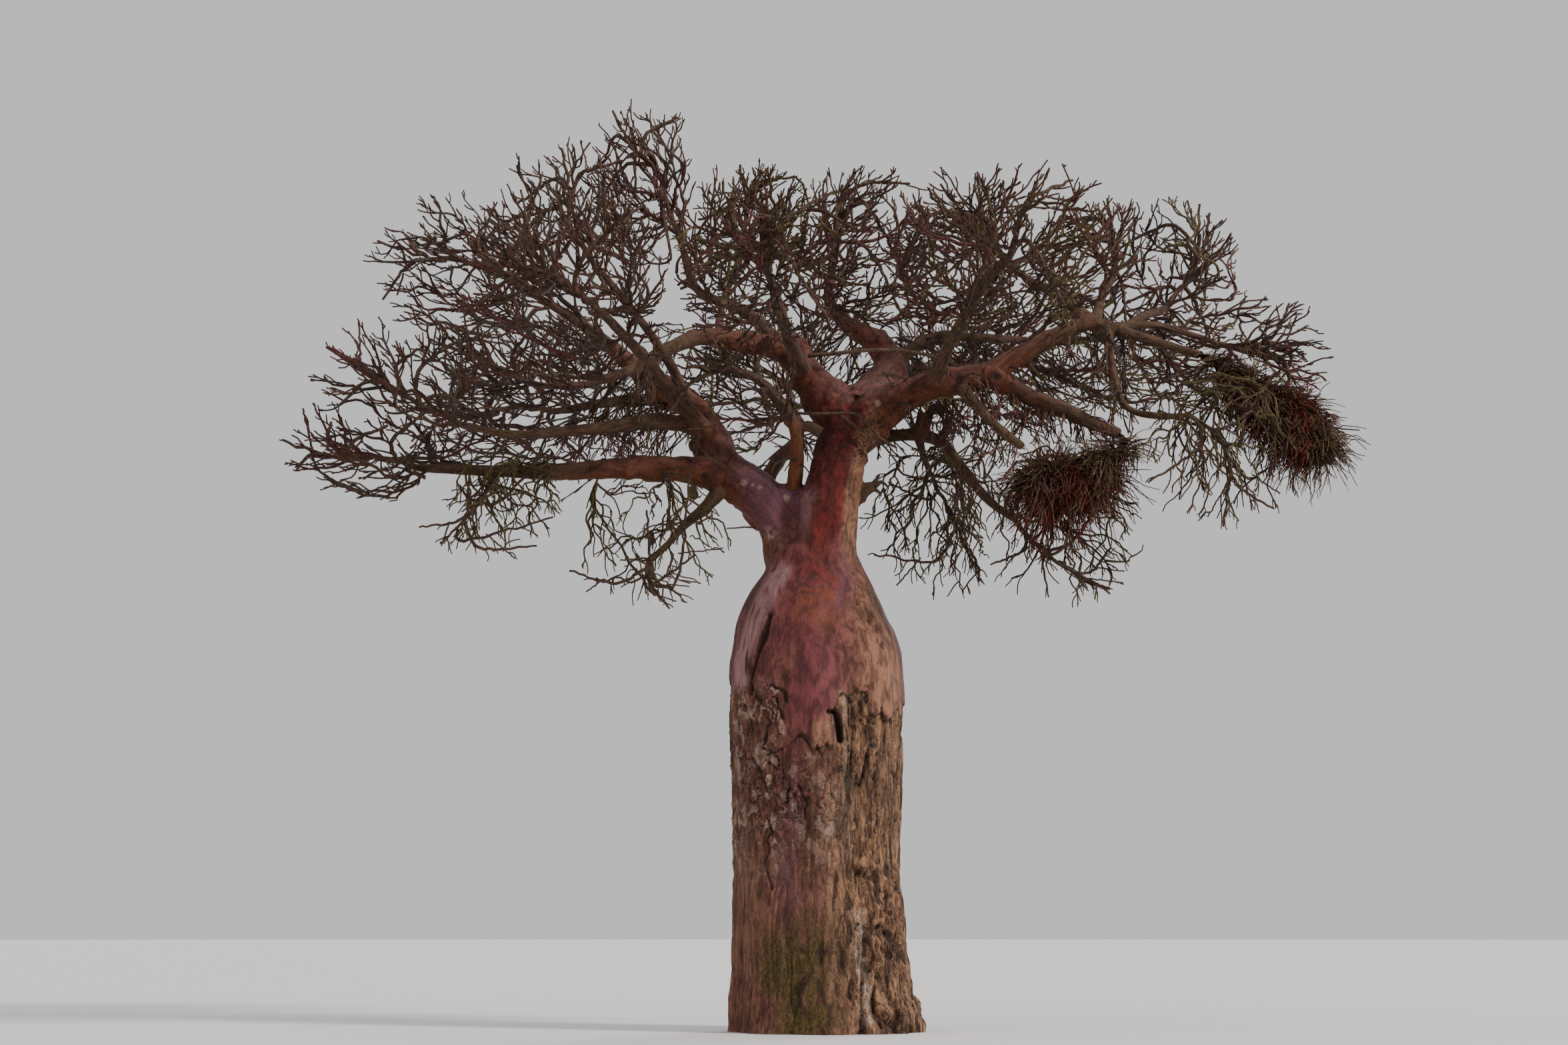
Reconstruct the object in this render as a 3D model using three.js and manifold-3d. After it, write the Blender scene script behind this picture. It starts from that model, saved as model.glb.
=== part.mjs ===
// A bare baobab in the dry season: a bottle-shaped trunk cut flat at ground level, its stems and
// boughs, the masses of twigs that they carry, and two old nests of sticks and grass.
// Millimetres. +X is right and +Y is away as seen from the front, +Z is up, and the origin is the
// middle of the trunk's foot.
import * as THREE from 'three';
import { mergeVertices } from 'three/addons/utils/BufferGeometryUtils.js';
import Module from 'manifold-3d';

const wasm = await Module();
wasm.setup();

// What touches keeps this gap, and what grows on its own keeps the larger one from other limbs
const GAP = 0.3;
const CLEARANCE = 15;

// Trunk: height, radius and sideways place of the middle at each level, from the foot to the dome
// on which the stems stand
const TRUNK_LEVELS = [
  { height: 0, radius: 1490, side: 140 },
  { height: 400, radius: 1385, side: 80 },
  { height: 1000, radius: 1325, side: 65 },
  { height: 1700, radius: 1295, side: 45 },
  { height: 2500, radius: 1265, side: 20 },
  { height: 3400, radius: 1280, side: 20 },
  { height: 4300, radius: 1305, side: 15 },
  { height: 5000, radius: 1325, side: 5 },
  { height: 5600, radius: 1293, side: -10 },
  { height: 6050, radius: 1178, side: -45 },
  { height: 6430, radius: 1035, side: -40 },
  { height: 6720, radius: 895, side: -35 },
  { height: 6950, radius: 755, side: -45 },
  { height: 7180, radius: 660, side: -80 },
  { height: 7340, radius: 500, side: -80 },
  { height: 7420, radius: 260, side: -80 },
];
const TRUNK_SIDES = 24;
const TRUNK_LOBES = 8;
const LOBE_AT_FOOT = 0.045;
const LOBE_ABOVE = 0.018;
const FOOT_HEIGHT = 1400;

// Limbs, each after the one it grows from: bends from its root inside that one to its tip, and its
// radius at both ends. A taper over 1 thins it fast near the root.
const LIMBS = [
  { name: 'stem_left', radii: [430, 330], sides: 9,
    bends: [[-290, 100, 7010], [-600, 100, 7630], [-870, 50, 8060], [-1230, 0, 8340], [-1560, 0, 8560]] },
  { name: 'stem_right', radii: [460, 400], sides: 10,
    bends: [[120, -250, 6860], [160, -250, 7470], [260, -250, 8140], [410, -200, 8820], [540, -150, 9300]] },
  { name: 'stem_middle', radii: [135, 100], sides: 6,
    bends: [[-450, 80, 7500], [-340, -120, 8200], [-290, -420, 8650], [-330, -650, 9050],
      [-600, -850, 9450]] },
  { name: 'bough_left_low', radii: [215, 60], sides: 7,
    bends: [[-1380, -40, 8430], [-1970, -400, 8430], [-2760, -800, 8390], [-3930, -1200, 8260],
      [-4900, -1500, 8230], [-5900, -1700, 8240]] },
  { name: 'spur_left_low', radii: [60, 40], sides: 5,
    bends: [[-4750, -1450, 8230], [-4830, -1600, 8050], [-4880, -1780, 7850]] },
  { name: 'bough_left_rising', radii: [275, 60], taper: 1.2, sides: 7,
    bends: [[-1480, 0, 8500], [-1750, 150, 9260], [-2080, 300, 9670], [-2700, 600, 10120],
      [-3170, 800, 10540], [-3830, 1000, 11090], [-4580, 1000, 11550]] },
  { name: 'fork_left_rising', radii: [95, 50], sides: 6,
    bends: [[-1950, 220, 9520], [-2170, -200, 9970], [-2560, -900, 10500], [-3300, -1450, 11350]] },
  { name: 'bough_left_level', radii: [130, 50], sides: 7,
    bends: [[-1700, 50, 9120], [-2280, -500, 9160], [-2940, -1200, 8960], [-3680, -1900, 8750],
      [-4500, -2400, 8620], [-5150, -2600, 8720]] },
  { name: 'bough_left_hanging', radii: [115, 60], sides: 6,
    bends: [[-1350, -50, 8300], [-1700, -350, 7850], [-2030, -600, 7530], [-2260, -800, 7220],
      [-2480, -950, 6980]] },
  { name: 'bough_left_rear', radii: [120, 60], sides: 6,
    bends: [[-1900, 250, 9500], [-2660, 1100, 9800], [-3460, 2000, 9910], [-4200, 2800, 9940]] },
  { name: 'bough_left_front', radii: [130, 60], sides: 6,
    bends: [[-1620, 0, 9000], [-2160, -1000, 9500], [-2600, -2200, 9860], [-3060, -3300, 10190]] },
  { name: 'bough_rear_centre', radii: [140, 60], sides: 6,
    bends: [[-900, 150, 8150], [-570, 900, 8800], [-300, 1800, 9250], [-250, 2900, 9750],
      [-400, 4000, 10300]] },
  { name: 'bough_fork', radii: [300, 240], sides: 9,
    bends: [[450, -100, 9150], [60, -20, 9720], [-200, 60, 10080], [-430, 140, 10480]] },
  { name: 'bough_fork_left', radii: [170, 60], sides: 7,
    bends: [[-400, 120, 10380], [-1070, 200, 10550], [-1690, 100, 10600], [-2240, -400, 10320],
      [-2860, -900, 9850], [-3500, -1250, 9560]] },
  { name: 'shoot_fork', radii: [75, 45], sides: 5,
    bends: [[-1500, 160, 10600], [-1480, 800, 11200], [-1250, 1500, 12100]] },
  { name: 'leader_top', radii: [120, 40], sides: 6,
    bends: [[-480, 250, 10420], [-1080, 900, 11160], [-1880, 1100, 11600], [-2130, 1100, 12340],
      [-2360, 1000, 12950]] },
  { name: 'bough_front_centre', radii: [120, 60], sides: 6,
    bends: [[-150, 0, 9950], [-400, -1100, 10290], [-600, -2300, 10640], [-740, -3500, 10850]] },
  { name: 'bough_upright', radii: [390, 75], taper: 1.5, sides: 8,
    bends: [[690, 100, 9300], [1040, 500, 9830], [1180, 760, 10230], [1010, 1080, 10680],
      [520, 1600, 11140], [250, 1950, 11600], [300, 2150, 12250]] },
  { name: 'branch_upright_right', radii: [115, 60], sides: 6,
    bends: [[1150, 780, 10300], [1950, 1300, 10850], [2700, 1950, 10980], [3700, 2700, 11100]] },
  { name: 'bough_rear_right', radii: [140, 60], sides: 6,
    bends: [[1150, 700, 10050], [1600, 2200, 10500], [2400, 3800, 10900]] },
  { name: 'bough_right_long', radii: [320, 65], taper: 1.5, sides: 8,
    bends: [[500, -200, 9000], [1180, -480, 9440], [1780, -700, 9690], [2480, -800, 9780],
      [3100, -800, 10130], [3700, -800, 10460], [4210, -800, 10610], [4800, -900, 10410],
      [5770, -1100, 10060]] },
  { name: 'fork_right_upper', radii: [70, 45], sides: 5,
    bends: [[4500, -840, 10540], [5200, -550, 10640], [6050, -500, 10400]] },
  { name: 'bough_right_low', radii: [155, 90], sides: 7,
    bends: [[2600, -800, 9830], [3220, -1100, 9420], [3640, -1400, 9190], [4090, -1600, 8930],
      [4470, -1700, 8740]] },
  { name: 'stub_right', radii: [100, 65], sides: 6,
    bends: [[2100, -760, 9740], [2490, -1300, 9130], [2760, -1600, 8780], [3020, -1800, 8540]] },
  { name: 'bough_right_inner', radii: [115, 60], sides: 7,
    bends: [[560, -100, 8850], [1150, 20, 9020], [1650, 60, 9040], [1960, 0, 8900], [2200, -300, 8490],
      [2620, -600, 7910], [2950, -800, 7620]] },
  { name: 'spur_right_inner', radii: [70, 45], sides: 5,
    bends: [[1580, 60, 9040], [1680, 500, 8800], [1790, 800, 8600]] },
  { name: 'bough_right_return', radii: [105, 50], sides: 6,
    bends: [[4150, -800, 10600], [3830, -600, 11030], [3290, -300, 11410], [2950, 0, 11800]] },
  { name: 'fork_right_return', radii: [80, 45], sides: 5,
    bends: [[4230, -780, 10640], [4440, -200, 11220], [4650, 200, 11550]] },
  { name: 'bough_right_dropping', radii: [75, 45], sides: 6,
    bends: [[4410, -820, 10560], [4450, -1100, 9890], [4620, -1400, 9200], [5130, -1600, 9030],
      [5500, -1750, 9020]] },
  { name: 'bough_right_rising', radii: [75, 45], sides: 6,
    bends: [[4600, -860, 10500], [5050, -100, 10880], [5500, 500, 11150], [5700, 800, 11450]] },
  { name: 'bough_right_front', radii: [120, 60], sides: 6,
    bends: [[1780, -690, 9700], [1900, -1700, 9960], [2150, -2800, 10320], [2400, -3600, 10630]] },
];
const LIMB_STEP = 650;
const FEWEST_STEPS = 3;

// Masses of twigs, each on one limb's tip: the middle and half sizes of the space it keeps to, its
// furthest tip, and its lean, up where it is positive and hanging where it is negative
const MASSES = [
  { name: 'twigs_left_low', limb: 'bough_left_low', lean: 0.25,
    middle: [-6300, -1800, 8600], reach: [1650, 1400, 950], tip: [-7870, -1800, 8640] },
  { name: 'twigs_left_level', limb: 'bough_left_level', lean: 0.3,
    middle: [-5700, -2650, 9400], reach: [1720, 1400, 1100], tip: [-7090, -2700, 9860] },
  { name: 'twigs_left_high', limb: 'bough_left_rising', lean: 0.3,
    middle: [-5400, 1000, 11950], reach: [1780, 1600, 1280], tip: [-6970, 1000, 12360] },
  { name: 'twigs_left_upper', limb: 'fork_left_rising', lean: 0.4,
    middle: [-3700, -1250, 11900], reach: [1500, 1500, 1450], tip: [-3860, -1300, 13210] },
  { name: 'twigs_top', limb: 'leader_top', lean: 0.4,
    middle: [-2750, 1050, 13200], reach: [1080, 1200, 1540], tip: [-3240, 1000, 14500] },
  { name: 'twigs_crown_left', limb: 'shoot_fork', lean: 0.35,
    middle: [-1050, 1550, 12400], reach: [1420, 1700, 1480], tip: [-1200, 1600, 13780] },
  { name: 'twigs_crown_middle', limb: 'bough_upright', lean: 0.35,
    middle: [800, 2200, 12450], reach: [1500, 1700, 1500], tip: [670, 2200, 13880] },
  { name: 'twigs_crown_right', limb: 'bough_right_return', lean: 0.35,
    middle: [2350, 50, 11850], reach: [1500, 1650, 1350], tip: [1950, 0, 13020] },
  { name: 'twigs_right_upper', limb: 'fork_right_return', lean: 0.35,
    middle: [4200, 400, 11650], reach: [1450, 1500, 1380], tip: [4600, 400, 12900] },
  { name: 'twigs_right_high', limb: 'bough_right_rising', lean: 0.35,
    middle: [5650, 1250, 11800], reach: [1330, 1500, 1380], tip: [6190, 1300, 13040] },
  { name: 'twigs_right_end', limb: 'fork_right_upper', lean: 0.25,
    middle: [6450, -550, 10200], reach: [1520, 1300, 1000], tip: [7500, -700, 10350] },
  { name: 'twigs_right_hanging', limb: 'bough_right_dropping', lean: -0.45,
    middle: [6000, -1800, 8600], reach: [1450, 1350, 1330], tip: [5950, -1800, 7350] },
  { name: 'twigs_under_nest', limb: 'bough_right_inner', lean: -0.45,
    middle: [3700, -1050, 7450], reach: [1400, 1250, 1250], tip: [4370, -1000, 6450] },
  { name: 'twigs_inner_hanging', limb: 'spur_right_inner', lean: -0.5,
    middle: [1950, 750, 7900], reach: [1300, 1400, 1380], tip: [2600, 800, 6850] },
  { name: 'twigs_left_hanging', limb: 'spur_left_low', lean: -0.4,
    middle: [-4700, -1800, 7750], reach: [1400, 1150, 930], tip: [-5530, -1800, 7100] },
  { name: 'twigs_stub_hanging', limb: 'bough_left_hanging', lean: -0.4,
    middle: [-2600, -1000, 7350], reach: [1350, 1200, 1220], tip: [-2190, -1000, 6230] },
  { name: 'twigs_left_inner', limb: 'bough_fork_left', lean: 0.2,
    middle: [-4200, -1250, 10100], reach: [1720, 1550, 1130], tip: [-5800, -1400, 10250] },
  { name: 'twigs_rear_left', limb: 'bough_left_rear', lean: 0.2,
    middle: [-4700, 3300, 10150], reach: [2400, 2200, 1450], tip: [-6800, 3900, 10200] },
  { name: 'twigs_rear_middle', limb: 'bough_rear_centre', lean: 0.25,
    middle: [-500, 4500, 10900], reach: [2400, 2150, 1550], tip: [-600, 6500, 11100] },
  { name: 'twigs_rear_right', limb: 'bough_rear_right', lean: 0.25,
    middle: [2900, 4400, 11100], reach: [2400, 2150, 1450], tip: [3300, 6300, 11500] },
  { name: 'twigs_far_right', limb: 'branch_upright_right', lean: 0.25,
    middle: [4850, 2850, 11050], reach: [1850, 1850, 1300], tip: [6300, 3500, 11500] },
  { name: 'twigs_front_left', limb: 'bough_left_front', lean: 0.25,
    middle: [-3450, -3950, 10600], reach: [1850, 2000, 1300], tip: [-4100, -5600, 10900] },
  { name: 'twigs_front_middle', limb: 'bough_front_centre', lean: 0.25,
    middle: [-700, -4150, 10800], reach: [1850, 2000, 1250], tip: [-700, -5900, 11100] },
  { name: 'twigs_front_right', limb: 'bough_right_front', lean: 0.25,
    middle: [2600, -4200, 10900], reach: [1850, 1980, 1300], tip: [3000, -5950, 11200] },
  { name: 'twigs_middle', limb: 'stem_middle', lean: 0.1,
    middle: [-1200, -1150, 9650], reach: [1250, 1250, 1050], tip: [-1950, -1300, 9850] },
];

// The twigs' rule: ribs leave the leader one after the other for targets spread evenly over the
// space, and branchlets leave leader and ribs on alternate sides, turned by the golden angle
const RIBS = 6;
const SHOOT_SIDES = 3;
const RIB_FILL = 0.94;
const FIRST_RIB_AT = 0.04;
const LAST_RIB_AT = 0.7;
const LEADER_STEPS = 3;
const RIB_STEPS = 2;
const RIB_THICKNESS = 0.62;
const THINNEST_RIB = 38;
const RIB_TIP = 20;
const BRANCHLETS_ON_LEADER = 2;
const BRANCHLETS_ON_RIB = 1;
const BRANCHLET_STEPS = 1;
const BRANCHLET_LENGTH = 0.5;
const BRANCHLET_THICKNESS = 0.62;
const BRANCHLET_TIP = 15;
const BRANCHLET_ANGLE = 0.95;
const GOLDEN_ANGLE = Math.PI * (3 - Math.sqrt(5));
const KINK = 0.16;
const SHORTEST = 0.45;
const CELL_MARGIN = 0.06;

// Nests: the line that the body follows from a limb's tip, its half thickness at each point of it,
// how far the sticks stand out, and where the longest one ends
const NESTS = [
  { name: 'nest_low', limb: 'bough_right_low', sides: 9, sticks: 8, stand: [160, 420], seed: 71,
    longest: [3900, -1480, 7260],
    line: [[4520, -1690, 8540], [4260, -1600, 8330], [3820, -1500, 8040], [3350, -1480, 7980],
      [2990, -1480, 8030]],
    radii: [150, 330, 500, 430, 120] },
  { name: 'nest_outer', limb: 'bough_right_long', sides: 8, sticks: 9, stand: [200, 520], seed: 83,
    longest: [8080, -1400, 8860],
    line: [[6000, -1150, 9900], [6400, -1220, 9560], [6850, -1320, 9200], [7220, -1400, 8830],
      [7620, -1420, 8380]],
    radii: [180, 290, 350, 430, 110] },
];
const NEST_LUMPS = 0.13;
const STICK_RADIUS = 26;
const STICK_TIP = 8;
const STICK_DROOP = 0.35;
const LONGEST_AT = 0.7;

// Colours and roughness of bark, twigs and nests
const BARK = new THREE.MeshStandardMaterial({ color: 0x9a6a5e, roughness: 0.85, metalness: 0 });
const TWIG = new THREE.MeshStandardMaterial({ color: 0x4a3830, roughness: 0.9, metalness: 0 });
const NEST = new THREE.MeshStandardMaterial({ color: 0x49302a, roughness: 0.95, metalness: 0 });

const UP = new THREE.Vector3(0, 0, 1);
const point = ([x, y, z]) => new THREE.Vector3(x, y, z);

// A repeatable row of even random numbers from 0 to 1
function dice(seed) {
  let state = seed % 2147483647;
  const roll = () => {
    state = (state * 16807) % 2147483647;
    return state / 2147483647;
  };
  for (let warm = 0; warm < 3; warm++) roll();
  return roll;
}

function solidOf(geometry) {
  const merged = mergeVertices(geometry, 1e-3);
  return new wasm.Manifold(new wasm.Mesh({
    numProp: 3,
    vertProperties: merged.attributes.position.array,
    triVerts: new Uint32Array(merged.index.array),
  }));
}

function meshOf(name, solid, material) {
  const { vertProperties, triVerts } = solid.getMesh();
  const geometry = new THREE.BufferGeometry();
  geometry.setAttribute('position', new THREE.BufferAttribute(new Float32Array(vertProperties), 3));
  geometry.setIndex(new THREE.BufferAttribute(new Uint32Array(triVerts), 1));
  const mesh = new THREE.Mesh(geometry, material);
  mesh.name = name;
  return mesh;
}

// A closed solid whose skin joins rings of points, each counter-clockwise round the way they follow
function loft(rings) {
  const sides = rings[0].length;
  const last = (rings.length - 1) * sides;
  const faces = [];
  for (let ring = 0; ring < last; ring += sides) {
    for (let side = 0; side < sides; side++) {
      const here = ring + side;
      const next = ring + (side + 1) % sides;
      faces.push(here, next, next + sides, here, next + sides, here + sides);
    }
  }
  for (let side = 1; side + 1 < sides; side++) {
    faces.push(0, side + 1, side, last, last + side, last + side + 1);
  }
  const geometry = new THREE.BufferGeometry().setFromPoints(rings.flat());
  geometry.setIndex(faces);
  return solidOf(geometry);
}

// A round skin along points, with a radius at each, and both ends moved out by the growth
function tube(points, radii, sides, growth = 0) {
  const spread = growth / Math.cos(Math.PI / sides);
  const along = points.map((_, index) => {
    const ahead = points[Math.min(index + 1, points.length - 1)];
    const behind = points[Math.max(index - 1, 0)];
    return ahead.clone().sub(behind).normalize();
  });
  const across = new THREE.Vector3(1, 0, 0);
  if (Math.abs(along[0].x) > 0.8) across.set(0, 1, 0);
  const rings = points.map((place, index) => {
    across.addScaledVector(along[index], -across.dot(along[index])).normalize();
    const beside = along[index].clone().cross(across);
    const shift = index === 0 ? -growth : index === points.length - 1 ? growth : 0;
    const middle = place.clone().addScaledVector(along[index], shift);
    const radius = radii[index] + spread;
    return Array.from({ length: sides }, (_, side) => {
      const turn = 2 * Math.PI * side / sides;
      return middle.clone()
        .addScaledVector(across, radius * Math.cos(turn))
        .addScaledVector(beside, radius * Math.sin(turn));
    });
  });
  return loft(rings);
}

// The trunk's radius at a level and a turn: shallow lobes run up it and swell at its foot
function trunkRing({ height, radius, side }, growth) {
  const foot = Math.max(0, 1 - height / FOOT_HEIGHT);
  const depth = LOBE_ABOVE + (LOBE_AT_FOOT - LOBE_ABOVE) * foot * foot;
  return Array.from({ length: TRUNK_SIDES }, (_, index) => {
    const turn = 2 * Math.PI * index / TRUNK_SIDES;
    const out = radius * (1 + depth * Math.cos(TRUNK_LOBES * turn)) + growth;
    const level = height > 0 ? height + growth : 0;
    return new THREE.Vector3(side + out * Math.cos(turn), out * Math.sin(turn), level);
  });
}

function trunk(growth = 0) {
  return loft(TRUNK_LEVELS.map((level) => trunkRing(level, growth)));
}

// A limb's points and radii along a smooth line through its bends
function limbLine({ name, bends, radii: [root, tip], taper = 1, sides }) {
  const curve = new THREE.CatmullRomCurve3(bends.map(point), false, 'centripetal');
  const steps = Math.max(FEWEST_STEPS, Math.round(curve.getLength() / LIMB_STEP));
  const points = curve.getSpacedPoints(steps);
  const radii = points.map((_, index) => tip + (root - tip) * (1 - index / steps) ** taper);
  return { name, points, radii, sides };
}

function largest(solid) {
  return solid.decompose().sort((a, b) => b.volume() - a.volume())[0];
}

const limbLines = new Map(LIMBS.map((limb) => [limb.name, limbLine(limb)]));
const tipOf = (name) => {
  const { points, radii } = limbLines.get(name);
  const end = points.length - 1;
  return {
    place: points[end],
    heading: points[end].clone().sub(points[end - 1]).normalize(),
    radius: radii[end],
  };
};

// How deep a place lies in a mass's space: 0 in the middle and 1 on its skin
function depthIn({ middle, reach }, place) {
  return Math.hypot(
    (place.x - middle[0]) / reach[0],
    (place.y - middle[1]) / reach[1],
    (place.z - middle[2]) / reach[2],
  );
}

function owns(mass, place) {
  const own = depthIn(mass, place);
  return own <= 1 && MASSES.every((other) => other === mass || depthIn(other, place) > own + CELL_MARGIN);
}

// The bodies that twigs keep clear of, as lines with a radius at each point
const TRUNK_LINE = {
  name: 'trunk',
  points: TRUNK_LEVELS.map(({ height, side }) => new THREE.Vector3(side, 0, height)),
  radii: TRUNK_LEVELS.map(({ radius }) => radius),
};
const nestLine = ({ name, line, radii }) => ({
  name, points: line.map(point), radii: radii.map((radius) => radius * (1 + NEST_LUMPS)),
});
const OBSTACLES = [TRUNK_LINE, ...limbLines.values(), ...NESTS.map(nestLine)];

function touches(place, radius, spared) {
  const closest = new THREE.Vector3();
  const stretch = new THREE.Line3();
  return OBSTACLES.some(({ name, points, radii }) => points.some((end, index) => {
    if (index === 0 || (name === spared.limb && index === points.length - 1)) return false;
    stretch.set(points[index - 1], end);
    const share = stretch.closestPointToPointParameter(place, true);
    stretch.at(share, closest);
    const thick = radii[index - 1] + (radii[index] - radii[index - 1]) * share;
    return closest.distanceTo(place) < thick + radius + CLEARANCE;
  }));
}

// A shoot's points from a start along a bent line, as far as its space and the limbs allow
function shootLine(mass, start, heading, target, steps, radius, roll) {
  const length = start.distanceTo(target);
  const curve = new THREE.QuadraticBezierCurve3(
    start, start.clone().addScaledVector(heading, length * 0.45), target);
  const points = [start];
  for (let step = 1; step <= steps; step++) {
    const place = curve.getPoint(step / steps);
    const wander = length * KINK / steps * (step < steps ? 1 : 0);
    place.x += wander * (2 * roll() - 1);
    place.y += wander * (2 * roll() - 1);
    place.z += wander * (2 * roll() - 1);
    if (!owns(mass, place) || touches(place, radius, mass)) break;
    points.push(place);
  }
  return points;
}

function shoot(points, root, tip) {
  const radii = points.map((_, index) => root + (tip - root) * index / (points.length - 1));
  return tube(points, radii, SHOOT_SIDES);
}

// Even directions over a ball
function evenDirection(index, count) {
  const height = 1 - 2 * (index + 0.5) / count;
  const round = Math.sqrt(1 - height * height);
  const turn = GOLDEN_ANGLE * index;
  return new THREE.Vector3(round * Math.cos(turn), round * Math.sin(turn), height);
}

// The furthest place of a mass's own space that way from its middle
function edgeOf(mass, direction) {
  const place = point(mass.middle);
  for (let share = RIB_FILL; share > 0.2; share -= 0.04) {
    place.set(
      mass.middle[0] + mass.reach[0] * direction.x * share,
      mass.middle[1] + mass.reach[1] * direction.y * share,
      mass.middle[2] + mass.reach[2] * direction.z * share,
    );
    if (owns(mass, place)) return place;
  }
  return place;
}

function placeAt(points, share) {
  const run = share * (points.length - 1);
  const index = Math.min(Math.floor(run), points.length - 2);
  const heading = points[index + 1].clone().sub(points[index]).normalize();
  return { place: points[index].clone().lerp(points[index + 1], run - index), heading };
}

// Branchlets of one shoot, on alternate sides of it
function branchlets(mass, points, count, root, tip, roll) {
  const length = points[0].distanceTo(points[points.length - 1]);
  const made = [];
  for (let index = 0; index < count; index++) {
    const share = (index + 0.9) / (count + 0.4);
    const { place, heading } = placeAt(points, share);
    const turn = GOLDEN_ANGLE * index * 2 + roll();
    const side = heading.clone().cross(UP).normalize().applyAxisAngle(heading, turn);
    const way = heading.clone().multiplyScalar(Math.cos(BRANCHLET_ANGLE))
      .addScaledVector(side, Math.sin(BRANCHLET_ANGLE))
      .addScaledVector(UP, mass.lean).normalize();
    const long = length * BRANCHLET_LENGTH * (1.15 - 0.6 * share);
    const target = place.clone().addScaledVector(way, long);
    const radius = (root + (tip - root) * share) * BRANCHLET_THICKNESS;
    const line = shootLine(mass, place, way, target, BRANCHLET_STEPS, radius, roll);
    if (line.length > BRANCHLET_STEPS * SHORTEST + 1) {
      made.push(shoot(line, radius, Math.min(BRANCHLET_TIP, radius)));
    }
  }
  return made;
}

// One mass: its leader runs on from the limb's tip, and ribs and branchlets fill its space
function massOfTwigs(mass, number) {
  const foot = tipOf(mass.limb);
  const roll = dice(1009 * (number + 1));
  const start = foot.place.clone().addScaledVector(foot.heading, GAP);
  const leader = shootLine(mass, start, foot.heading, point(mass.tip), LEADER_STEPS, RIB_TIP, roll);
  if (leader.length < 3) throw new Error(mass.name + ' has no room for its leader');
  const root = foot.radius;
  const made = [shoot(leader, root, RIB_TIP)];
  made.push(...branchlets(mass, leader, BRANCHLETS_ON_LEADER, root, RIB_TIP, roll));
  const targets = Array.from({ length: RIBS }, (_, index) => edgeOf(mass, evenDirection(index, RIBS)));
  targets.sort((a, b) => a.distanceTo(start) - b.distanceTo(start));
  targets.forEach((target, index) => {
    const share = FIRST_RIB_AT + (LAST_RIB_AT - FIRST_RIB_AT) * index / (RIBS - 1);
    const { place, heading } = placeAt(leader, share);
    const radius = Math.max(THINNEST_RIB, (root + (RIB_TIP - root) * share) * RIB_THICKNESS);
    const line = shootLine(mass, place, heading, target, RIB_STEPS, RIB_TIP, roll);
    if (line.length < RIB_STEPS) return;
    made.push(shoot(line, radius, RIB_TIP));
    made.push(...branchlets(mass, line, BRANCHLETS_ON_RIB, radius, RIB_TIP, roll));
  });
  return wasm.Manifold.union(made);
}

// A nest: a lumpy body that hangs from a limb's tip, with sticks standing out of it
function nest({ limb, sides, sticks, stand, seed, longest, line, radii }) {
  const roll = dice(seed * 131);
  const foot = tipOf(limb);
  const curve = new THREE.CatmullRomCurve3(
    [foot.place.clone().addScaledVector(foot.heading, GAP), ...line.map(point)], false, 'centripetal');
  const count = line.length * 2;
  const widths = [foot.radius * 0.9, ...radii];
  const thick = (share) => {
    const run = Math.min(share * line.length, line.length - 1e-6);
    const index = Math.floor(run);
    return widths[index] + (widths[index + 1] - widths[index]) * (run - index);
  };
  const points = curve.getPoints(count);
  const lumps = points.map((_, index) => {
    const uneven = index === 0 ? 1 : 1 + NEST_LUMPS * (2 * roll() - 1);
    return thick(index / count) * uneven;
  });
  const made = [tube(points, lumps, sides)];
  const stick = (from, to) => made.push(tube([from, to], [STICK_RADIUS, STICK_TIP], SHOOT_SIDES));
  stick(curve.getPoint(LONGEST_AT), point(longest));
  for (let index = 0; index < sticks; index++) {
    const share = 0.25 + 0.72 * (index + 0.5) / sticks;
    const place = curve.getPoint(share);
    const way = evenDirection(Math.floor(roll() * 400), 400);
    way.z -= STICK_DROOP;
    way.normalize();
    const long = thick(share) + stand[0] + (stand[1] - stand[0]) * roll();
    stick(place, place.clone().addScaledVector(way, long));
  }
  return wasm.Manifold.union(made);
}

// Every limb is cut clear of those before it, and every mass and nest of all limbs
const grown = [trunk(GAP)];

function cutClear(solid) {
  const box = solid.boundingBox();
  const near = grown.filter((body) => {
    const other = body.boundingBox();
    return [0, 1, 2].every((axis) => box.min[axis] < other.max[axis] && other.min[axis] < box.max[axis]);
  });
  return largest(wasm.Manifold.difference([solid, ...near]));
}

const tree = new THREE.Group();
const wood = new THREE.Group();
const crown = new THREE.Group();
const nests = new THREE.Group();
tree.add(wood, crown, nests);
wood.add(meshOf('trunk', trunk(), BARK));
for (const { name, points, radii, sides } of limbLines.values()) {
  wood.add(meshOf(name, cutClear(tube(points, radii, sides)), BARK));
  grown.push(tube(points, radii, sides, GAP));
}
MASSES.forEach((mass, index) => crown.add(meshOf(mass.name, cutClear(massOfTwigs(mass, index)), TWIG)));
NESTS.forEach((part) => nests.add(meshOf(part.name, cutClear(nest(part)), NEST)));

export default tree;
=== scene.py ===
import math

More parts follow.
